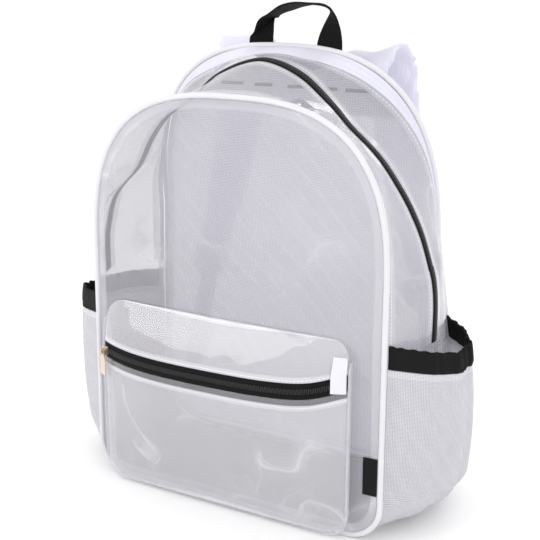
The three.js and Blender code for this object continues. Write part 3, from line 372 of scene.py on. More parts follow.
def carry(name, loops, finish, closed=False, hem=None):
    """A body through a row of section loops, with the lengths along and round it as its map."""
    count, size = loops.shape[:2]
    row, col = joined_loops(count, size, closed)
    middle = loops.mean(axis=1)
    along = run_lengths(np.concatenate([middle, middle[:1]]))
    steps = np.linalg.norm(np.roll(loops, -1, axis=1) - loops, axis=-1).mean(axis=0)
    about = np.concatenate([[0], np.cumsum(steps)])
    corners = np.stack([along[row], about[col]], -1)
    faces = (row % count) * size + col % size
    return make_object(name, loops, faces, corners, finish, hem)


def sheet(name, outer, inner, finish):
    """A sheet with a wall, from a grid of outer points and the same grid of inner points."""
    loops = np.concatenate([outer, inner[:, ::-1]], axis=1)
    steps = np.linalg.norm(np.diff(outer, axis=1), axis=-1)
    up = np.concatenate([np.zeros((len(outer), 1)), np.cumsum(steps, axis=1)], axis=1)
    hem = np.minimum(up, up[:, -1:] - up)
    return carry(name, loops, finish, hem=np.concatenate([hem, hem[:, ::-1]], axis=1))


def grid(columns, rows):
    """Shares along and up a sheet, as two arrays."""
    return np.meshgrid(np.linspace(0, 1, columns + 1), np.linspace(0, 1, rows + 1), indexing="ij")


def normals_of(points):
    """Normals of a grid of points: the differences along it crossed with those up it, turned to face away from
    the bag's middle."""
    along = np.gradient(points, axis=0)
    upward = np.gradient(points, axis=1)
    normal = unit(np.cross(along, upward))
    away = points - np.array([0, 0, REAR["top"] / 2])
    return normal * np.sign(np.einsum("ijk,ijk->ij", normal, away).mean())


def skin(name, outer, thickness, finish, waves=0, length=60, seed=1):
    """A sheet whose wall is measured square to its outer face, into the bag, with gentle waves of a size and a
    length inside its hems."""
    normal = normals_of(outer)
    if waves:
        a, b = grid(outer.shape[0] - 1, outer.shape[1] - 1)
        calm = np.clip(8 * np.minimum(b, 1 - b), 0, 1) * np.clip(20 * np.minimum(a, 1 - a), 0, 1)
        outer = outer + normal * (ripple(outer, waves, length, seed) * calm)[..., None]
    return sheet(name, outer, outer - normal * thickness, finish)


# Finishes

class Graph:
    """A node tree with short ways to add and join nodes."""

    def __init__(self, tree):
        self.tree = tree

    def add(self, kind, **settings):
        """A new node with its settings."""
        made = self.tree.nodes.new(kind)
        for name, value in settings.items():
            setattr(made, name, value)
        return made

    def feed(self, socket, value):
        """A link where the value is a socket, and a plain value otherwise."""
        if isinstance(value, bpy.types.NodeSocket):
            self.tree.links.new(value, socket)
        elif value is not None:
            socket.default_value = value

    def math(self, operation, a, b=None, c=None):
        """The outcome of a sum on one to three values."""
        made = self.add("ShaderNodeMath", operation=operation)
        for socket, value in zip(made.inputs, (a, b, c)):
            self.feed(socket, value)
        return made.outputs[0]

    def rise(self, value, low, high):
        """A smooth step from 0 at low to 1 at high; it falls where low is the larger."""
        made = self.add("ShaderNodeMapRange", interpolation_type="SMOOTHSTEP")
        for name, given in (("Value", value), ("From Min", low), ("From Max", high)):
            self.feed(made.inputs[name], given)
        return made.outputs[0]

    def mix(self, share, a, b):
        """The colour that lies a share of the way from a to b."""
        made = self.add("ShaderNodeMix", data_type="RGBA")
        self.feed(made.inputs["Factor"], share)
        self.feed(made.inputs["A"], a)
        self.feed(made.inputs["B"], b)
        return made.outputs["Result"]

    def bump(self, height, distance, strength):
        """The normal of a surface with a fine relief."""
        made = self.add("ShaderNodeBump")
        self.feed(made.inputs["Height"], height)
        made.inputs["Distance"].default_value = distance
        made.inputs["Strength"].default_value = strength
        return made.outputs["Normal"]

    def use(self, group, **values):
        """A shader group's outputs, for the values of its inputs."""
        made = self.add("ShaderNodeGroup", node_tree=group)
        for name, value in values.items():
            self.feed(made.inputs[name.replace("_", " ").capitalize()], value)
        return made.outputs


def effect(name, inputs, outputs):
    """An empty shader group with its named sockets."""
    group = bpy.data.node_groups.new(name, "ShaderNodeTree")
    for socket, kind, value in inputs:
        made = group.interface.new_socket(socket, in_out="INPUT", socket_type=kind)
        if value is not None:
            made.default_value = value
    for socket in outputs:
        group.interface.new_socket(socket, in_out="OUTPUT", socket_type="NodeSocketFloat")
    graph = Graph(group)
    return group, graph, graph.add("NodeGroupInput").outputs, graph.add("NodeGroupOutput").inputs


VECTOR, FLOAT = "NodeSocketVector", "NodeSocketFloat"


def thread_effect():
    """Plain weave: the product of two sine waves, so that threads rise and dip in turn, and its open gaps."""
    group, graph, given, out = effect("woven threads", [("Place", VECTOR, None), ("Pitch", FLOAT, 0.001)],
                                      ["Height", "Gap"])
    axes = graph.add("ShaderNodeSeparateXYZ")
    graph.feed(axes.inputs[0], given["Place"])
    waves = []
    for axis in (0, 1):
        turns = graph.math("DIVIDE", axes.outputs[axis], given["Pitch"])
        waves.append(graph.math("SINE", graph.math("MULTIPLY", turns, math.pi)))
    product = graph.math("MULTIPLY", *waves)
    graph.feed(out["Height"], graph.math("MULTIPLY_ADD", product, 0.5, 0.5))
    graph.feed(out["Gap"], graph.math("ABSOLUTE", product))
    return group


def stitch_effect():
    """A row of stitches: dashes along a line, rounded by a smooth rise on all four sides."""
    group, graph, given, out = effect("row of stitches", [
        ("Along", FLOAT, 0), ("Off", FLOAT, 0), ("Pitch", FLOAT, 0.0035), ("Width", FLOAT, 0.0009)], ["Mask"])
    share = graph.math("FRACT", graph.math("DIVIDE", given["Along"], given["Pitch"]))
    middle = graph.math("ABSOLUTE", graph.math("SUBTRACT", share, 0.5))
    dash = graph.rise(middle, 0.42, 0.30)
    near = graph.rise(graph.math("ABSOLUTE", given["Off"]), given["Width"], 0.0)
    graph.feed(out["Mask"], graph.math("MULTIPLY", dash, near))
    return group


def crease_effect():
    """Creases of a film: the thin ridges where a bent noise passes its middle value. The clear film paints its
    glints along these lines.
    """
    group, graph, given, out = effect("film creases", [
        ("Place", VECTOR, None), ("Scale", FLOAT, 12), ("Sharpness", FLOAT, 22)], ["Lines", "Swell"])
    noise = graph.add("ShaderNodeTexNoise")
    noise.inputs["Detail"].default_value = 1.5
    noise.inputs["Distortion"].default_value = 0.9
    graph.feed(noise.inputs["Vector"], given["Place"])
    graph.feed(noise.inputs["Scale"], given["Scale"])
    off = graph.math("ABSOLUTE", graph.math("MULTIPLY_ADD", noise.outputs["Fac"], 2, -1))
    ridge = graph.math("POWER", graph.math("SUBTRACT", 1, off), given["Sharpness"])
    patches = graph.add("ShaderNodeTexNoise")
    patches.inputs["Scale"].default_value = 9
    graph.feed(patches.inputs["Vector"], given["Place"])
    graph.feed(out["Lines"], graph.math("MULTIPLY", ridge, graph.rise(patches.outputs["Fac"], 0.5, 0.62)))
    graph.feed(out["Swell"], noise.outputs["Fac"])
    return group


def tone_effect():
    """Slight unevenness of a cloth's tone: a broad noise and a fine one."""
    group, graph, given, out = effect("uneven tone", [
        ("Place", VECTOR, None), ("Scale", FLOAT, 30)], ["Tone"])
    broad = graph.add("ShaderNodeTexNoise")
    fine = graph.add("ShaderNodeTexNoise")
    fine.inputs["Detail"].default_value = 4
    graph.feed(broad.inputs["Vector"], given["Place"])
    graph.feed(fine.inputs["Vector"], given["Place"])
    graph.feed(broad.inputs["Scale"], given["Scale"])
    graph.feed(fine.inputs["Scale"], graph.math("MULTIPLY", given["Scale"], 14))
    graph.feed(out["Tone"], graph.math("ADD", graph.math("MULTIPLY", broad.outputs["Fac"], 0.6),
                                       graph.math("MULTIPLY", fine.outputs["Fac"], 0.4)))
    return group


# Specular level of the black cloths, which shine less than plain cloth does
DULL = 0.12
PLAIN = 0.5
THREADS = thread_effect()
STITCHES = stitch_effect()
CREASES = crease_effect()
TONE = tone_effect()


def new_finish(name, rough, **constants):
    """A material with one shader, and its constants set on the shader's own sockets."""
    made = bpy.data.materials.new(name)
    made.use_nodes = True
    graph = Graph(made.node_tree)
    shader = made.node_tree.nodes["Principled BSDF"]
    shader.inputs["Roughness"].default_value = rough
    for socket, value in constants.items():
        shader.inputs[socket.replace("_", " ")].default_value = value
    places = graph.add("ShaderNodeTexCoord").outputs
    return made, graph, shader.inputs, places


def cloth_map(graph):
    """The piece's own map: length along it and length up it, in metres."""
    return graph.add("ShaderNodeUVMap", uv_map="cloth").outputs[0]


def hem_of(graph):
    """Distance to the nearest hem, in metres."""
    return graph.add("ShaderNodeAttribute", attribute_name="hem").outputs["Fac"]


def seam_stitches(graph, hem, inset, pitch=0.0035, width=0.0009):
    """Stitches along a sheet's long hems, at a distance from them."""
    axes = graph.add("ShaderNodeSeparateXYZ")
    graph.feed(axes.inputs[0], cloth_map(graph))
    off = graph.math("SUBTRACT", hem, inset)
    return graph.use(STITCHES, along=axes.outputs[0], off=off, pitch=pitch, width=width)["Mask"]


# How white a film turns at each kind of place, how much cover that adds, and the most cover it may have. The
# white seen edge on is a painted reflection, and the white on creases and fold lines is a painted highlight.
EDGE_ON_PAINTED_REFLECTION = 0.5
CREASE_PAINTED_GLINT = 0.28
HEM_WHITE = 0.30
FOLD_PAINTED_HIGHLIGHT = 0.25
STITCH_WHITE = 0.4
WHITE_COVER = 0.6
FULL_COVER = 0.95


def clear_film(name, tint, body, hem_width=0.0, scale=12.0):
    """Clear film. Its tint and cover hold where it is met square on. It turns whiter and denser where it is
    seen edge on, as a painted reflection, on its creases, and along its hems, with their fold lines and
    stitches. The white on its creases and fold lines is a painted highlight."""
    made, graph, shader, places = new_finish(name, 0.08, IOR=1.5, Coat_Weight=1.0, Coat_Roughness=0.03)
    creases = graph.use(CREASES, place=places["Object"], scale=scale)
    facing = graph.add("ShaderNodeLayerWeight")
    facing.inputs["Blend"].default_value = 0.5
    # Painted reflection: the film is painted whiter the more edge on it is seen
    white = graph.math("MULTIPLY", graph.math("POWER", facing.outputs["Facing"], 3.0), EDGE_ON_PAINTED_REFLECTION)
    # Painted highlight: glints painted white along the creases
    white = graph.math("MULTIPLY_ADD", creases["Lines"], CREASE_PAINTED_GLINT, white)
    height = creases["Swell"]
    if hem_width:
        hem = hem_of(graph)
        band = graph.rise(hem, hem_width, hem_width * 0.85)
        # Painted highlight: a thin white line along each hem's fold
        line = graph.rise(graph.math("ABSOLUTE", graph.math("SUBTRACT", hem, hem_width)), 0.0009, 0.0)
        stitches = seam_stitches(graph, hem, hem_width * 0.45)
        for mask, share in ((band, HEM_WHITE), (line, FOLD_PAINTED_HIGHLIGHT), (stitches, STITCH_WHITE)):
            white = graph.math("MULTIPLY_ADD", mask, share, white)
        height = graph.math("ADD", height, graph.math("MULTIPLY", stitches, 0.15))
    white = graph.math("MINIMUM", white, 1.0)
    # Base colour: the tint, whitened by the painted reflection and painted highlights as well as along the hems
    # and stitches
    graph.feed(shader["Base Color"], graph.mix(white, tint, grey(0.86)))
    cover = graph.math("MULTIPLY_ADD", white, WHITE_COVER, body)
    graph.feed(shader["Alpha"], graph.math("MINIMUM", cover, FULL_COVER))
    graph.feed(shader["Normal"], graph.bump(height, 0.004, 0.35))
    return made


def woven(name, dark, light, pitch, depth, rough=0.85, stitch_inset=0.0, sheen=0.2, by_map=True,
          dull=False):
    """Woven cloth: a plain weave, a slightly uneven tone, a soft sheen, and stitches beside its hems."""
    made, graph, shader, places = new_finish(name, rough, Sheen_Weight=sheen, Sheen_Roughness=0.5,
                                             Specular_IOR_Level=DULL if dull else PLAIN)
    place = cloth_map(graph) if by_map else places["Object"]
    threads = graph.use(THREADS, place=place, pitch=pitch)
    tone = graph.use(TONE, place=places["Object"], scale=28.0)["Tone"]
    share = graph.math("MULTIPLY_ADD", graph.rise(threads["Height"], 0.2, 0.8), 0.45,
                       graph.math("MULTIPLY", tone, 0.55))
    colour = graph.mix(share, dark, light)
    height = threads["Height"]
    if stitch_inset:
        stitches = seam_stitches(graph, hem_of(graph), stitch_inset)
        height = graph.math("MULTIPLY_ADD", stitches, 2.5, height)
        colour = graph.mix(graph.math("MULTIPLY", stitches, 0.6), colour, light)
    graph.feed(shader["Base Color"], colour)
    graph.feed(shader["Roughness"], graph.math("MULTIPLY_ADD", tone, 0.15, rough - 0.07))
    graph.feed(shader["Normal"], graph.bump(height, depth, 0.8))
    return made


def net(name, dark, light, pitch, closed, rough=0.8, by_map=True):
    """Knitted net: threads with small holes between them, faintly watered, and closer along its hems."""
    made, graph, shader, places = new_finish(name, rough, Sheen_Weight=0.2)
    place = cloth_map(graph) if by_map else places["Object"]
    if not by_map:
        turned = graph.add("ShaderNodeMapping")
        turned.inputs["Rotation"].default_value = (math.pi / 2, 0, 0)
        graph.feed(turned.inputs["Vector"], place)
        place = turned.outputs[0]
    threads = graph.use(THREADS, place=place, pitch=pitch)
    hole = graph.rise(threads["Gap"], 0.42, 0.62)
    tone = graph.use(TONE, place=places["Object"], scale=14.0)["Tone"]
    bands = graph.add("ShaderNodeTexWave", bands_direction="DIAGONAL")
    for socket, value in (("Scale", 26), ("Distortion", 5.5), ("Detail", 1), ("Detail Scale", 0.35)):
        bands.inputs[socket].default_value = value
    graph.feed(bands.inputs["Vector"], places["Object"])
    watered = graph.math("MULTIPLY", graph.math("SUBTRACT", bands.outputs["Fac"], 0.5), 0.05)
    alpha = graph.math("SUBTRACT", closed, graph.math("MULTIPLY", hole, 0.55))
    alpha = graph.math("ADD", alpha, watered)
    hem = graph.rise(hem_of(graph), 0.007, 0.005)
    alpha = graph.math("MULTIPLY_ADD", hem, 0.25, alpha)
    graph.feed(shader["Base Color"], graph.mix(tone, dark, light))
    graph.feed(shader["Alpha"], graph.math("MINIMUM", alpha, 1.0))
    graph.feed(shader["Normal"], graph.bump(threads["Height"], 0.0002, 0.7))
    return made


def webbing(name, dark, light, rib, rough=0.8, dull=False):
    """Webbing: ribs across its length, with a weave of threads a little finer than the ribs."""
    made, graph, shader, places = new_finish(name, rough, Specular_IOR_Level=DULL if dull else PLAIN)
    place = cloth_map(graph)
    axes = graph.add("ShaderNodeSeparateXYZ")
    graph.feed(axes.inputs[0], place)
    ribs = graph.math("SINE", graph.math("MULTIPLY", axes.outputs[0], 2 * math.pi / rib))
    threads = graph.use(THREADS, place=place, pitch=rib * 0.9)
    height = graph.math("ADD", graph.math("MULTIPLY", ribs, 0.35), threads["Height"])
    tone = graph.use(TONE, place=places["Object"], scale=35.0)["Tone"]
    share = graph.math("MULTIPLY", graph.rise(height, -0.2, 1.3), graph.math("ADD", tone, 0.4))
    graph.feed(shader["Base Color"], graph.mix(share, dark, light))
    graph.feed(shader["Normal"], graph.bump(height, 0.0004, 0.9))
    return made


def moulded(name, dark, light, rough, metallic=0.0, scale=90.0):
    """Hard finish: a slightly uneven tone and roughness, and a lighter colour on edges where the surface turns.
    """
    made, graph, shader, places = new_finish(name, rough, Metallic=metallic)
    tone = graph.use(TONE, place=places["Object"], scale=scale)["Tone"]
    edge_pointiness = graph.add("ShaderNodeNewGeometry").outputs["Pointiness"]
    # Lighter colour where the surface turns sharply, found by the mesh's pointiness
    edge = graph.rise(edge_pointiness, 0.51, 0.58)
    share = graph.math("MAXIMUM", tone, edge)
    graph.feed(shader["Base Color"], graph.mix(share, dark, light))
    graph.feed(shader["Roughness"], graph.math("MULTIPLY_ADD", tone, 0.18, rough - 0.08))
    graph.feed(shader["Normal"], graph.bump(tone, 0.0001, 0.3))
    return made


def grey(level, blue=1.05):
    """A grey of a level, with its blue raised or lowered by a factor."""
    return (level, level * 0.985, level * blue, 1)


SMOKE = grey(0.50, 1.07)
front_film = clear_film("clear front film", SMOKE, 0.27, 0.0085, 7.0)
wall_film = clear_film("clear wall film", SMOKE, 0.28, 0.0065, 9.0)
pocket_film = clear_film("clear pocket film", grey(0.82, 1.03), 0.25, 0.0045, 11.0)
# The welt's dark grey tint is a painted dark reflection on its shiny strip
reflection_painted_welt_film = clear_film("glossy welt film", grey(0.16), 0.50, 0.0, 60.0)
cord_film = clear_film("clear cord film", grey(0.70), 0.30, 0.0, 60.0)
white_cord = woven("white piping cover", grey(0.66, 1.03), grey(0.80, 1.03), 0.0007, 0.00025, 0.6)
white_cloth = woven("white cloth", grey(0.64, 1.13), grey(0.76, 1.13), 0.0007, 0.00018, 0.8, 0.004)
strap_cloth = woven("white strap cloth", grey(0.64, 1.13), grey(0.76, 1.13), 0.0009, 0.00022, 0.75,
                    by_map=False)
tab_cloth = woven("white tab cloth", grey(0.66, 1.06), grey(0.78, 1.06), 0.0006, 0.00012, 0.5)
back_net = net("white back net", grey(0.80, 1.08), grey(0.92, 1.08), 0.0016, 0.84, by_map=False)
pocket_net = net("white pocket net", grey(0.60, 1.05), grey(0.70, 1.05), 0.0012, 0.86)
black_webbing = webbing("black webbing", grey(0.002), grey(0.014), 0.0021, dull=True)
white_webbing = webbing("white webbing", grey(0.55), grey(0.8), 0.0021)
black_tape = woven("black zip tape", grey(0.002), grey(0.011), 0.0008, 0.0002, 0.7, 0.0028, sheen=0.0,
                   dull=True)
black_elastic = woven("black elastic", grey(0.002), grey(0.014), 0.0011, 0.0003, 0.7, 0.0026, sheen=0.0,
                      dull=True)
black_coil = moulded("black nylon coil", grey(0.003), grey(0.016), 0.34)
black_satin = woven("black satin", grey(0.002), grey(0.012), 0.0005, 0.0001, 0.45, 0.0016, sheen=0.0,
                    dull=True)
white_plastic = moulded("white buckle plastic", grey(0.66), grey(0.80), 0.35)
nickel = moulded("warm nickel", (0.42, 0.36, 0.28, 1), (0.72, 0.64, 0.52, 1), 0.28, 1.0)
bar_thread = woven("grey bartack thread", grey(0.07, 1.1), grey(0.14, 1.1), 0.0005, 0.0002, 0.6)

# Walls

RIM_STEPS = 480
ARCH_STEPS = 260


def tube_loops(middle, side, lift, radius, sides):
    """A round section carried along a line: the side way times the cosine and the lift way times the sine."""
    angle = np.linspace(0, 2 * math.pi, sides, endpoint=False)
    ring = side[:, None] * np.cos(angle)[:, None] + lift[:, None] * np.sin(angle)[:, None]
    return middle[:, None] + ring * radius


def rim_piping(panel, depth):
    """Loops of the cord round a rim."""
    turn = np.linspace(0, ROUND, RIM_STEPS, endpoint=False)
    side = outward(turn, np.full_like(turn, depth))
    lift = np.broadcast_to(np.array([0.0, 1.0, 0.0]), side.shape)
    return tube_loops(rim(panel, turn), side, lift, PIPING_RADIUS, PIPING_SIDES)


def rim_face(name, panel, face, facing, thickness, waves, finish):
    """A face that fills a rim: rings about a middle point, drawn to the rim's edge, with gentle waves."""
    rings, around = 44, 320
    turn = np.linspace(0, ROUND, around, endpoint=False)
    depth = 0.0 if panel is FRONT else 1.0
    edge = rim(panel, turn) - outward(turn, np.full_like(turn, depth)) * INSET
    centre = np.array([0, 0, panel["spring_z"] * 0.82])
    share = np.linspace(0, 1, rings + 1) ** 0.85
    flat = centre + (edge - centre)[:, None] * share[:, None]
    y = face(flat[..., 0], flat[..., 2])
    calm = np.clip((1 - share) * 6, 0, 1)
    y = y - facing * np.abs(ripple(spot(flat[..., 0], 0, flat[..., 2]), waves, 120, 3)) * calm
    outer = spot(flat[..., 0], y, flat[..., 2])
    inner = outer - np.array([0, facing * thickness, 0])
    length = np.linalg.norm(edge - centre, axis=-1)[:, None] * (1 - share)
    hem = np.concatenate([length, length[:, ::-1]], axis=1)
    loops = np.concatenate([outer, inner[:, ::-1]], axis=1)
    count, size = loops.shape[:2]
    row, col = joined_loops(count, size, True)
    inside = (col == size - 1).any(axis=1) & (col == size).any(axis=1)
    row, col = row[~inside], col[~inside]
    faces = (row % count) * size + col % size
    points = np.concatenate([loops.reshape(-1, 3), outer[:1, 0], inner[:1, 0]])
    hems = np.concatenate([hem.ravel(), hem[:1, 0], hem[:1, 0]])
    joined = np.arange(len(points))
    first = np.arange(count) * size
    joined[first], joined[first + size - 1] = len(points) - 2, len(points) - 1
    keep, faces = np.unique(joined[faces], return_inverse=True)
    return make_object(name, points[keep], faces.reshape(-1, 4), None, finish, hems[keep])


def arch_turn(share, depth):
    """Turn at a share of the way over the arch, from the right side seam to the left one."""
    start = turn_at_height(SIDE_SEAM[1], depth)
    end = ROUND - turn_at_height(SIDE_SEAM[-1], depth)
    return blend(start, end, share)


def arch_strip(front_edge, rear_edge, rows):
    """Outer points of a strip of the arch between two edges, each given as a depth by turn."""
    a, b = grid(ARCH_STEPS, rows)
    turn = arch_turn(a, ZIP_DEPTH)
    depth = blend(front_edge(turn), rear_edge(turn), b)
    return wall(arch_turn(a, depth), depth)


def zip_depth(turn):
    """Depth of the middle of the zip, the same on both sides."""
    return along_rows(ZIP_ROWS, np.minimum(turn, ROUND - turn))


def edge_strip_depth(turn):
    """Depth of the front edge of the cloth strip, which widens from the sides to the top."""
    at = np.minimum(turn, ROUND - turn)
    return 1 - depth_share(turn, INSET + EDGE_STRIP_WIDTH * along_rows(EDGE_STRIP_ROWS, at))


def side_panel_points(side):
    """Outer points of a side, from the base seam up to the side seam."""
    a, b = grid(60, 40)
    edge = depth_share(2, INSET)
    depth = blend(edge, 1 - edge, b)
    turn = blend(BASE_SEAM_TURN, turn_at_height(SIDE_SEAM[side] - GAP, depth), a)
    return wall(turn if side > 0 else ROUND - turn, depth)


def base_points():
    """Outer points of the base, from one base seam through the middle to the other."""
    reach = BASE_SEAM_TURN - GAP / REAR["corner"]
    a, b = grid(120, 30)
    edge = depth_share(0, INSET)
    return wall(blend(-reach, reach, a) % ROUND, blend(edge, 1 - edge, b))


for word, panel, depth in (("front", FRONT, 0.0), ("rear", REAR, 1.0)):
    settle(carry(f"{word}_piping_cord", rim_piping(panel, depth), white_cord, closed=True), "white_cord",
           f"{word}_piping")
settle(rim_face("front_film", FRONT, front_face, -1, FILM, 1.6, front_film), "clear_plastic", "front_panel")
back_sheet = settle(rim_face("back_net", REAR, back_face, 1, NET, 2.0, back_net), "white_mesh", "back_panel")

ZIP_REACH = ZIP_TAPE / 2 + GAP
settle(skin("front_gusset_film",
            arch_strip(lambda turn: depth_share(turn, INSET),
                       lambda turn: zip_depth(turn) - depth_share(turn, ZIP_REACH), 24),
            FILM, wall_film, 1.1, 55, 2), "clear_plastic", "gusset_front")
settle(skin("rear_gusset_film",
            arch_strip(lambda turn: zip_depth(turn) + depth_share(turn, ZIP_REACH),
                       lambda turn: edge_strip_depth(turn) - depth_share(turn, GAP), 24),
            FILM, wall_film, 1.1, 55, 5), "clear_plastic", "gusset_rear")
settle(skin("rear_edge_cloth",
            arch_strip(edge_strip_depth, lambda turn: 1 - depth_share(turn, INSET), 10),
            CLOTH, white_cloth), "white_cloth", "rear_edge_strip")
for side, word in ((-1, "left"), (1, "right")):
    settle(skin(f"side_film_{word}", side_panel_points(side), FILM, wall_film, 0.9, 60, 4 + side),
           "clear_plastic", f"side_panel_{word}")
settle(skin("base_film", base_points(), FILM, wall_film), "clear_plastic", "base_panel")

# Zips

def tape_profile(half):
    """Section of a zip's two tapes: a groove at the middle, a cord beside it, then flat to a rounded edge."""
    right = [(0.35, -0.2), (0.7, 0.35), (2.2, 0.25), (2.8, -0.05), (half - 0.4, -0.05), (half, -0.3),
             (half, -0.9), (half - 0.4, -1.15)]
    return np.array(right + [(-across, out) for across, out in reversed(right)])


def zip_pieces(name, place, tape_width, length):
    """A woven tape with its cord edges, and the coil: short bent bars across it at an even pitch, which lean to
    and fro in turn. The place function gives the middle, the way across and the way out for shares along it."""
    share = np.linspace(0, 1, 240)
    middle, across, out = place(share)
    profile = tape_profile(tape_width / 2)
    loops = middle[:, None] + across[:, None] * profile[:, :1] + out[:, None] * profile[:, 1:]
    settle(carry(f"{name}_tape", loops, black_tape), "black_zip", name)
    count = int(length / TOOTH_PITCH)
    share = (np.arange(count) + 0.5) / count
    middle, across, out = place(share)
    ahead = unit(np.cross(across, out))
    lean = np.where(np.arange(count) % 2 == 0, 1.0, -1.0)[:, None]
    rings, sides = 5, 6
    angle = np.linspace(0, 2 * math.pi, sides, endpoint=False)
    bars = []
    for station in np.linspace(-1, 1, rings):
        reach = COIL_WIDTH / 2 * station
        rise = COIL_RISE * 0.55 * (1 - abs(station) ** 3) + 0.1
        thick = COIL_WIRE * (1 - 0.35 * abs(station) ** 4)
        centre = middle + across * reach + out * rise + ahead * lean * (COIL_LEAN * station)
        ring = (ahead[:, None] * np.cos(angle)[:, None] + out[:, None] * np.sin(angle)[:, None]) * thick
        bars.append(centre[:, None] + ring)
    bars = np.stack(bars, axis=1)
    row, col = joined_loops(rings, sides, False)
    faces = row * sides + col % sides
    faces = (faces[None] + (np.arange(count) * rings * sides)[:, None, None]).reshape(-1, 4)
    settle(make_object(f"{name}_coil", bars, faces, None, black_coil, sharp=80), "black_zip")


def main_zip_place(share):
    """Middle, way across and way out of the main zip, over the arch."""
    turn = arch_turn(share, ZIP_DEPTH)
    depth = zip_depth(turn)
    turn = arch_turn(share, depth)
    front = wall(turn, depth - depth_share(turn, 1))
    rear = wall(turn, depth + depth_share(turn, 1))
    return wall(turn, depth), unit(rear - front), wall_normal(turn, depth)


def pocket_zip_z(across):
    """Height of the middle of the pocket's zip, which climbs to its right end."""
    return POCKET_ZIP_Z + ZIP_RISE * along_rows(ZIP_RISE_ROWS, across)


def pocket_zip_reach(across):
    """How far the pocket stands out at its zip: its edge, and a flat-topped swell between its ends."""
    return POCKET_EDGE + POCKET_SWELL * (1 - np.abs(across) ** POCKET_POWER)


def pocket_zip_place(share):
    """Middle, way across and way out of the pocket's zip, from its left end."""
    across = blend(-1, 1, share)
    x, z = POCKET_X + across * POCKET_HALF, pocket_zip_z(across)
    middle = spot(x, front_face(x, z) - pocket_zip_reach(across), z)
    up = np.broadcast_to(np.array([0.0, 0.0, 1.0]), middle.shape)
    out = np.broadcast_to(np.array([0.0, -1.0, 0.0]), middle.shape)
    return middle, up, out


zip_pieces("main_zip", main_zip_place, ZIP_TAPE, MAIN_ZIP_LENGTH)
zip_pieces("pocket_zip", pocket_zip_place, POCKET_ZIP_TAPE, POCKET_ZIP_LENGTH)

# Front pocket


def pocket_reach(across, z):
    """How far the pocket stands out: filling up to the zip, full over the tape, then sloping back above it."""
    low = pocket_zip_z(across) - POCKET_ZIP_TAPE / 2
    high = low + POCKET_ZIP_TAPE
    full = pocket_zip_reach(across)
    up = np.clip((z - POCKET_BASE) / (low - POCKET_BASE), 0, 1)
    filled = POCKET_EDGE + (full - POCKET_EDGE) * along_rows(POCKET_FILL_ROWS, up)
    climb = np.clip((z - high) / (POCKET_TOP - high), 0, 1)
    return np.where(z <= low, filled, blend(full, CLEAR_WALL + GAP, climb ** TOP_BAND_POWER))


def pocket_half(z):
    """Half width of the pocket at a height: less than full in its round corners."""
    inside = np.clip(POCKET_CORNER - np.minimum(z - POCKET_BASE, POCKET_TOP - z), 0, POCKET_CORNER)
    return POCKET_HALF - POCKET_CORNER + np.sqrt(POCKET_CORNER ** 2 - inside ** 2)


def pocket_at(across, z, lift=0.0):
    """Place on the pocket's face by the share across and the height, lifted off it where asked."""
    x = POCKET_X + across * pocket_half(z)
    return spot(x, front_face(x, z) - pocket_reach(across, z) - lift, z)


def pocket_sheet(name, low, high, columns, rows, waves, finish, node):
    """A piece of the pocket's face between two heights, each given by the share across."""
    a, b = grid(columns, rows)
    across = blend(-1, 1, a)
    z = blend(low(across), high(across), b)
    calm = np.clip(6 * np.minimum(b, 1 - b), 0, 1) * np.clip(10 * np.minimum(a, 1 - a), 0, 1)
    outer = pocket_at(across, z)
    wave = ripple(spot(outer[..., 0], 0, outer[..., 2]), waves, 48, 6) * calm
    outer = outer + np.array([0, 1.0, 0]) * np.abs(wave)[..., None]
    inner = outer + np.array([0, FILM, 0])
    return settle(sheet(name, outer, inner, finish), "clear_plastic", node)


def pocket_zip_low(across):
    """Height of the lower edge of the pocket's zip tape."""
    return pocket_zip_z(across) - POCKET_ZIP_TAPE / 2


def pocket_zip_high(across):
    """Height just above the upper edge of the pocket's zip tape."""
    return pocket_zip_z(across) + POCKET_ZIP_TAPE / 2 + GAP


def pocket_edge(share):
    """Outline of the pocket down its left side, along its foot and up its right: x, z and the way out."""
    turn_in, curve = 0.32, 0.5
    side = np.where(share < 0.5, -1.0, 1.0)
    way = np.where(share < 0.5, share * 2, 2 - share * 2)
    top, corner = POCKET_TOP - POCKET_CORNER, POCKET_BASE + POCKET_CORNER
    angle = np.clip((way - turn_in) / (curve - turn_in), 0, 1) * math.pi / 2
    inner = POCKET_HALF - POCKET_CORNER
    x = np.where(way < curve, inner + POCKET_CORNER * np.cos(angle), inner * (1 - way) / (1 - curve))
    z = np.where(way < turn_in, blend(top, corner, way / turn_in), corner - POCKET_CORNER * np.sin(angle))
    return side * x, z, np.stack([side * np.cos(angle), -np.sin(angle)], -1)


def edge_reach(x, z):
    """How far the pocket stands out along its sides and foot."""
    return np.minimum(pocket_reach(np.where(x < 0, -1.0, 1.0), np.maximum(z, POCKET_BASE)), POCKET_EDGE)


def pocket_gusset_points(layer):
    """The low wall round the pocket: layer 0 is its outer side and layer 1 its inner side."""
    a, b = grid(150, 6)
    x, z, out = pocket_edge(a)
    reach = edge_reach(x, z) - CLEAR_WALL - GAP
    x = POCKET_X + x - layer * FILM * out[..., 0]
    z = z - layer * FILM * out[..., 1]
    return spot(x, front_face(x, z) - blend(GAP, reach, b), z)


def pocket_welt_loops():
    """The clear welt round the pocket's face, a little outside its outline."""
    share = np.linspace(0, 1, 180)
    x, z, out = pocket_edge(share)
    off = GAP + WELT_RADIUS
    y = front_face(POCKET_X + x, z) - edge_reach(x, z) + CLEAR_WALL / 2
    middle = spot(POCKET_X + x + off * out[:, 0], y, np.maximum(z + off * out[:, 1], WELT_RADIUS))
    side = spot(out[:, 0], 0, out[:, 1])
    lift = np.broadcast_to(np.array([0.0, 1.0, 0.0]), side.shape)
    return tube_loops(middle, side, lift, WELT_RADIUS, 10)


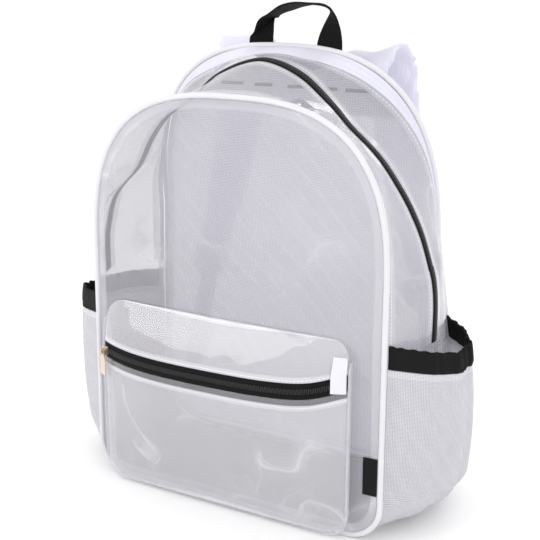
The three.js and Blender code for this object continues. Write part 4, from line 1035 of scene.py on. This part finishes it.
POCKET_COLUMNS = 110
pocket_sheet("pocket_face_film", lambda across: np.full_like(across, POCKET_BASE),
             lambda across: pocket_zip_low(across) - WELT_HEIGHT - 2 * GAP, POCKET_COLUMNS, 50, 1.3,
             pocket_film, "pocket_front")
pocket_sheet("pocket_top_film", pocket_zip_high, lambda across: np.full_like(across, POCKET_TOP),
             POCKET_COLUMNS, 26, 1.2, pocket_film, "pocket_top_band")
# The welt strip's dark tint is painted reflection
pocket_sheet("pocket_zip_welt", lambda across: pocket_zip_low(across) - WELT_HEIGHT - GAP,
             lambda across: pocket_zip_low(across) - GAP, POCKET_COLUMNS, 8, 0.0, reflection_painted_welt_film, "zip_welt")
settle(sheet("pocket_gusset_film", pocket_gusset_points(0), pocket_gusset_points(1), pocket_film),
       "clear_plastic", "pocket_gusset")
settle(carry("pocket_welt_cord", pocket_welt_loops(), cord_film), "clear_plastic", "pocket_piping")


def end_tab_points(layer):
    """The tab over the zip's right end: layer 0 is its outer side and layer 1 its inner side."""
    a, b = grid(10, 20)
    across = blend(1 - END_TAB["width"] / POCKET_HALF, 1, a)
    cover = GAP + COIL_RISE + END_TAB["wall"] - layer * END_TAB["wall"]
    return pocket_at(across, blend(END_TAB["base"], END_TAB["top"], b), cover)


def tag_points(layer):
    """The tag: a folded label that bulges a little at its fold."""
    a, b = grid(10, 16)
    z = blend(TAG["base"], TAG["top"], b)
    edge = rim(FRONT, turn_at_height(z, 0))[..., 0] - INSET
    x = edge - TAG["width"] * (1 - a)
    bulge = 0.25 * np.sin(math.pi * a) * np.sin(math.pi * b)
    return spot(x, front_face(x, z) - GAP - (1 - layer) * TAG["wall"] - bulge * (1 - layer), z)


settle(sheet("zip_end_cloth", end_tab_points(0), end_tab_points(1), tab_cloth), "white_cloth", "zip_end_tab")
settle(sheet("side_label", tag_points(0), tag_points(1), black_satin), "black_tag", "side_tag")

# Side pockets


# Gathers and folds of the side pockets' nets, and the ruffles, roll and ripple of their elastic, in millimetres
GATHER_DEPTH = 0.9
FOLD_DEPTH = 1.6
RUFFLE_DEPTH = 0.35
ROLL_DEPTH = 0.9
EDGE_RIPPLE = 0.45
NET_STAND = 1.0
BINDING_SKIN = BINDING_WALL - 0.4


def side_pocket_at(side, a, b, thickness):
    """Outer face of a side pocket. Share a runs from the front rim to the rear, share b from the foot up. The
    gathers under the elastic are waves across the mouth that die away down the net."""
    edge = depth_share(2, INSET)
    depth = blend(edge, 1 - edge, a)
    mouth = turn_at_height(blend(MOUTH_FRONT, MOUTH_REAR, a) - MOUTH_DIP * np.sin(math.pi * a), depth)
    turn = blend(SIDE_POCKET_FOOT, mouth, b)
    swell = SIDE_POCKET_SWELL * (1 - np.abs(2 * a - 1) ** SIDE_POCKET_POWER) * along_rows(SIDE_POCKET_ROWS, b)
    gathers = np.sin(2 * math.pi * 11 * a + 0.8 * np.sin(9 * a)) + 0.5 * np.sin(2 * math.pi * 19 * a + 1)
    gathers = GATHER_DEPTH * gathers * np.exp(-8 * (1 - b)) * np.sin(math.pi * a)
    folds = FOLD_DEPTH * np.sin(2 * math.pi * 4.5 * a + 3 * b) * ease(b, 0, 0.4) * np.sin(math.pi * a)
    place = turn if side > 0 else ROUND - turn
    out = GAP + thickness + swell + gathers + folds - NET_STAND
    return wall(place, depth) + outward(place, depth) * np.maximum(out, GAP + thickness)[..., None]


def binding_share():
    """Share of the way up the net at which the elastic starts."""
    climb = np.linalg.norm(side_pocket_at(1, 0.5, 0.0, 0) - side_pocket_at(1, 0.5, 1.0, 0))
    return 1 - BINDING_HEIGHT / climb


def binding_points(side):
    """The elastic binding, ruffled: short waves that are deepest at its lower and upper edges."""
    a, b = grid(260, 12)
    share = blend(binding_share(), 1, b)
    outer = side_pocket_at(side, a, share, BINDING_WALL)
    pulled = np.sin(2 * math.pi * 19 * a + 5 * np.sin(8 * a + side)) + 0.5 * np.sin(2 * math.pi * 33 * a + 2)
    pulled = pulled * (0.25 + (2 * b - 1) ** 2)
    roll = ROLL_DEPTH * np.sqrt(np.clip(1 - (2 * b - 1) ** 2, 0, 1))
    ends = ease(a, 0, 0.04) * ease(1 - a, 0, 0.04)
    outer = outer + outward_of(side, a) * ((RUFFLE_DEPTH * pulled + roll - ROLL_DEPTH) * ends)[..., None]
    ripples = np.sin(2 * math.pi * 16 * a + 4 * np.sin(9 * a))
    outer[..., 2] += EDGE_RIPPLE * ripples * ends * np.maximum(2 * b - 1, 0)
    return outer


def outward_of(side, a):
    """Way out of the bag at a side pocket's mouth, by the share from the front rim to the rear."""
    edge = depth_share(2, INSET)
    depth = blend(edge, 1 - edge, a)
    turn = np.full_like(a, 2.7)
    return outward(turn if side > 0 else ROUND - turn, depth)


for side, word in ((-1, "left"), (1, "right")):
    a, b = grid(150, 70)
    net_points = side_pocket_at(side, a, b * (binding_share() - GAP / MOUTH_FRONT), NET)
    pocket = settle(skin(f"side_net_{word}", net_points, NET, pocket_net), "white_mesh", f"side_pocket_{word}")
    settle(skin(f"binding_{word}", binding_points(side), BINDING_SKIN, black_elastic), "black_elastic",
           f"pocket_binding_{word}")

# Back, handle and straps


def yoke_points(layer):
    """The yoke on the outer side of the back, cut to the rim's arch: layer 0 is its outer side, 1 its inner."""
    inset = INSET + GAP
    top = REAR["top"] - inset
    a, b = grid(80, 30)
    z = blend(YOKE_BASE, top - inset, b)
    climb = np.clip((z - REAR["spring_z"]) / (top - REAR["spring_z"]), 0, 1)
    half = (REAR["spring"] - inset) * np.maximum(1 - climb ** REAR["power"], 0.012) ** (1 / REAR["power"])
    x = blend(-1, 1, a) * half
    return spot(x, back_face(x, z) + GAP + (1 - layer) * CLOTH, z)


def yoke_face(x, z):
    """How far back the yoke's outer side is, with a little room."""
    return back_face(x, z) + GAP + 1.4 * CLOTH


yoke = settle(sheet("yoke_cloth", yoke_points(0), yoke_points(1), white_cloth), "white_cloth", "back_yoke")


def band_loops(middle, along, wide, width, thick, section, skewed=False):
    """A section carried along a path: the wide way is made square to the path, unless the band is skewed, and
    the face way is square to both."""
    run = unit(along)
    square = wide - run * np.einsum("ij,ij->i", wide, run)[:, None]
    side = unit(wide if skewed else square)
    face = unit(np.cross(side, run))
    section = np.array(section)
    across = side[:, None] * section[:, :1] * (width / 2)[:, None, None]
    through = face[:, None] * section[:, 1:] * (thick / 2)[:, None, None]
    return middle[:, None] + across + through


def flat_section(points, power):
    """A flattened round: a superellipse, so that the band has soft edges."""
    angle = np.linspace(0, 2 * math.pi, points, endpoint=False) + math.pi / points
    return np.stack([np.sign(np.cos(angle)) * np.abs(np.cos(angle)) ** (2 / power),
                     np.sign(np.sin(angle)) * np.abs(np.sin(angle)) ** (2 / power)], -1)


def with_shares(rows):
    """A table's rows, each with its share of the way through the table in front."""
    return np.column_stack([np.linspace(0, 1, len(rows)), np.array(rows, float)])


def handle_middle(t):
    """Line of the handle: up a leg below share 0, over the top by its rows, and down a leg past share 1."""
    rows = with_shares(HANDLE_ROWS)
    way = np.clip(t, 0, 1)
    crest = REAR["top"] + INSET
    drop = (crest - HANDLE_FOOT) * np.abs(t - way) / HANDLE_LEG_SHARE
    z = crest + (HANDLE_TOP - WEBBING_WALL / 2 - crest) * along_rows(rows, way, 2) - drop
    foot = yoke_face(HANDLE_HALF, np.minimum(z, REAR["top"] - INSET))
    y = np.maximum(foot, REAR["y_top"] + INSET) + GAP + WEBBING_WALL / 2
    return spot(HANDLE_X + HANDLE_HALF * along_rows(rows, way, 1), y, z)


def handle_loops():
    """Webbing along the line of the handle. The way from its outer to its inner edge is turned by two angles of
    the rows: forward by the twist, and in the upright plane by the tilt."""
    t = np.linspace(-HANDLE_LEG_SHARE, 1 + HANDLE_LEG_SHARE, 190)
    along = unit(handle_middle(t + NUDGE) - handle_middle(t - NUDGE))
    twist, tilt = (np.radians(along_rows(with_shares(HANDLE_ROWS), t, column)) for column in (3, 4))
    wide = spot(np.cos(twist) * np.cos(tilt), np.sin(twist), np.cos(twist) * np.sin(tilt))
    size = np.full_like(t, WEBBING_WIDTH), np.full_like(t, WEBBING_WALL)
    return band_loops(handle_middle(t), along, wide, *size, flat_section(20, 6), skewed=True)


def strap_line(side, share):
    """Middle, width way and width of a shoulder strap at shares of the way down."""
    rows = with_shares(RIGHT_STRAP_ROWS if side > 0 else LEFT_STRAP_ROWS)
    x, up, back, width, lean, swing = (along_rows(rows, share, column) for column in range(1, 7))
    lean, swing = np.radians(lean), np.radians(swing)
    middle = spot(side * STRAP_X * x, STRAP_BACK * back, REAR["top"] * up)
    wide = spot(side * np.cos(lean) * np.cos(swing), np.sin(swing), np.sin(lean))
    return middle, wide, STRAP_WIDTH * width


def blown_up(item, voxel, pressure, cap, frames):
    """Padding: the piece is remeshed and blown up by a short cloth simulation, no point moves further than the
    cap, and the result is divided once more."""
    scene = bpy.context.scene

    def baked():
        """The piece's mesh as its modifiers leave it."""
        shape = item.evaluated_get(bpy.context.evaluated_depsgraph_get())
        return bpy.data.meshes.new_from_object(shape)

    remesh = item.modifiers.new("remesh", "REMESH")
    remesh.mode, remesh.voxel_size = "VOXEL", voxel
    finish, mesh = item.data.materials[0], baked()
    item.modifiers.clear()
    item.data = mesh
    start = np.empty(len(mesh.vertices) * 3)
    mesh.vertices.foreach_get("co", start)
    cloth = item.modifiers.new("cloth", "CLOTH")
    cloth.settings.use_pressure = True
    cloth.settings.uniform_pressure_force = pressure
    cloth.settings.effector_weights.gravity = 0
    cloth.point_cache.frame_end = frames
    for number in range(1, frames + 1):
        scene.frame_set(number)
    blown = baked()
    end = np.empty_like(start)
    blown.vertices.foreach_get("co", end)
    item.modifiers.clear()
    move = (end - start).reshape(-1, 3)
    reach = np.linalg.norm(move, axis=1, keepdims=True)
    move = move * np.minimum(1, cap / np.maximum(reach, 1e-9))
    mesh.vertices.foreach_set("co", start + move.ravel())
    mesh.polygons.foreach_set("use_smooth", [True] * len(mesh.polygons))
    mesh.materials.clear()
    mesh.materials.append(finish)
    scene.frame_set(1)
    smooth = item.modifiers.new("smooth", "SUBSURF")
    smooth.levels = smooth.render_levels = 1


def strap_loops(side):
    """A shoulder strap before its padding is blown up: thinner towards both ends."""
    share = np.linspace(0, 1, 110)
    middle, wide, width = strap_line(side, share)
    ahead, behind = (strap_line(side, np.clip(share + step, 0, 1))[0] for step in (NUDGE, -NUDGE))
    along = ahead - behind
    thick = (STRAP_THICK - STRAP_SWELL_ROOM) * (0.8 + 0.2 * np.sin(math.pi * share) ** 0.3)
    return band_loops(middle, along, wide, width, thick, flat_section(40, 3.2))


def lower_frame(side):
    """The frame at a strap's lower end: its buckle's middle, the anchor, and the ways down, across and back."""
    end = strap_line(side, np.array([1.0]))[0][0]
    x, z = ANCHOR
    fullest = x - LOWER_WEBBING["width"] / 2
    anchor = np.array([side * x, back_face(fullest, z) + GAP + LOWER_WEBBING["wall"], z])
    down = unit(anchor - end)
    wide = unit(np.array([1.0, 0, 0]) - down * down[0])
    back = unit(np.cross(down, wide))
    back = back * np.sign(back[1])
    return end + down * (BUCKLE_HEIGHT / 2 + GAP + BUCKLE_DROP), anchor, down, wide, back


def webbing_loops(side):
    """The straight webbing from behind a strap's buckle down to its anchor."""
    buckle, anchor, down, wide, back = lower_frame(side)
    off = BUCKLE_WALL / 2 + 3 * GAP + LOWER_WEBBING["wall"] / 2
    start = buckle + back * off - down * BUCKLE_HEIGHT / 4
    share = np.linspace(0, 1, 60)
    middle = start + (anchor - start) * share[:, None]
    same = np.ones((len(share), 1))
    size = np.full_like(share, LOWER_WEBBING["width"]), np.full_like(share, LOWER_WEBBING["wall"])
    return band_loops(middle, same * (anchor - start), same * wide, *size, flat_section(16, 6))


settle(carry("carry_handle", handle_loops(), black_webbing), "black_webbing", "haul_handle")
for side, word in ((-1, "left"), (1, "right")):
    strap = settle(carry(f"padded_strap_{word}", strap_loops(side), strap_cloth), "white_cloth",
                   f"shoulder_strap_{word}")
    blown_up(strap, PADDING["voxel"], PADDING["pressure"], PADDING["cap"], PADDING["frames"])
    settle(carry(f"lower_webbing_{word}", webbing_loops(side), white_webbing), "white_webbing",
           f"strap_webbing_{word}")


def bartack_loops(x, length):
    """A short dense row of thread, just inside the back and nearly level."""
    share = np.linspace(-0.5, 0.5, 12)
    x = x + share * length
    middle = spot(x, back_face(x, BARTACK["z"]) - CLEAR_WALL - BARTACK["sink"],
                  BARTACK["z"] + BARTACK["tilt"] * share)
    same = np.ones((len(share), 1))
    size = np.full_like(share, BARTACK["width"]), np.full_like(share, BARTACK["wall"])
    across, up = same * np.array([1.0, 0, 0]), same * np.array([0, 0, 1.0])
    return band_loops(middle, across, up, *size, flat_section(10, 4))


for number, (x, length) in enumerate(BARTACKS, 1):
    settle(carry(f"bartack_{number}", bartack_loops(x, length), bar_thread), "white_cloth")

# Carried-over solids
for node, finish in (("main_slider", nickel), ("pocket_slider", nickel), ("pocket_puller", nickel),
                     ("strap_buckle_left", white_plastic), ("strap_buckle_right", white_plastic)):
    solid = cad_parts[node]
    solid.data.materials.clear()
    solid.data.materials.append(finish)

# Camera, floor and light

AZIMUTH, ELEVATION = math.radians(29.54), math.radians(16.27)
DISTANCE = 1.038
AIM = Vector(((-0.36 + SHIFT[0]) * MM, SHIFT[1] * MM, 0.211))
BACK = Vector((math.sin(AZIMUTH) * math.cos(ELEVATION), -math.cos(AZIMUTH) * math.cos(ELEVATION),
               math.sin(ELEVATION)))

camera = bpy.data.objects.new("camera", bpy.data.cameras.new("camera"))
bpy.context.collection.objects.link(camera)
camera.data.sensor_width = SENSOR
camera.data.lens = FOCAL_PX / FRAME_PX * SENSOR
camera.location = AIM + BACK * DISTANCE
camera.rotation_mode = "QUATERNION"
camera.rotation_quaternion = (-BACK).to_track_quat("-Z", "Y")
bpy.context.scene.camera = camera

floor_finish, floor_graph, floor_shader, floor_places = new_finish("pale floor", 0.9)
floor_tone = floor_graph.use(TONE, place=floor_places["Object"], scale=3.0)["Tone"]
floor_dark, floor_light = (0.93, 0.93, 0.93, 1), (0.96, 0.96, 0.96, 1)
floor_graph.feed(floor_shader["Base Color"], floor_graph.mix(floor_tone, floor_dark, floor_light))
FLOOR_REACH = 60
floor_corners = [(x * FLOOR_REACH, y * FLOOR_REACH, 0) for x, y in ((-1, -1), (1, -1), (1, 1), (-1, 1))]
floor_mesh = bpy.data.meshes.new("floor")
floor_mesh.from_pydata(floor_corners, [], [(0, 1, 2, 3)])
floor_mesh.materials.append(floor_finish)
floor = bpy.data.objects.new("floor", floor_mesh)
bpy.context.collection.objects.link(floor)


LIGHT_AIM = Vector((0.0, 0.0, 0.2))


def softbox(name, place, size, power):
    """A soft rectangular light that faces the bag's middle."""
    light = bpy.data.lights.new(name, "AREA")
    light.shape = "RECTANGLE"
    light.size, light.size_y = size
    light.energy = power
    item = bpy.data.objects.new(name, light)
    item.location = place
    item.rotation_mode = "QUATERNION"
    item.rotation_quaternion = (LIGHT_AIM - Vector(place)).to_track_quat("-Z", "Y")
    bpy.context.collection.objects.link(item)


softbox("key", (-1.4, -1.5, 1.7), (1.0, 1.3), 15)
softbox("fill", (1.9, -1.2, 1.0), (0.8, 1.6), 8)
softbox("rim", (0.3, 1.7, 1.6), (1.6, 0.6), 9)

world = bpy.data.worlds.new("studio")
world.use_nodes = True
world.node_tree.nodes["Background"].inputs["Color"].default_value = (1, 1, 1, 1)
world.node_tree.nodes["Background"].inputs["Strength"].default_value = 1.07
bpy.context.scene.world = world
bpy.context.scene.view_settings.view_transform = "Standard"
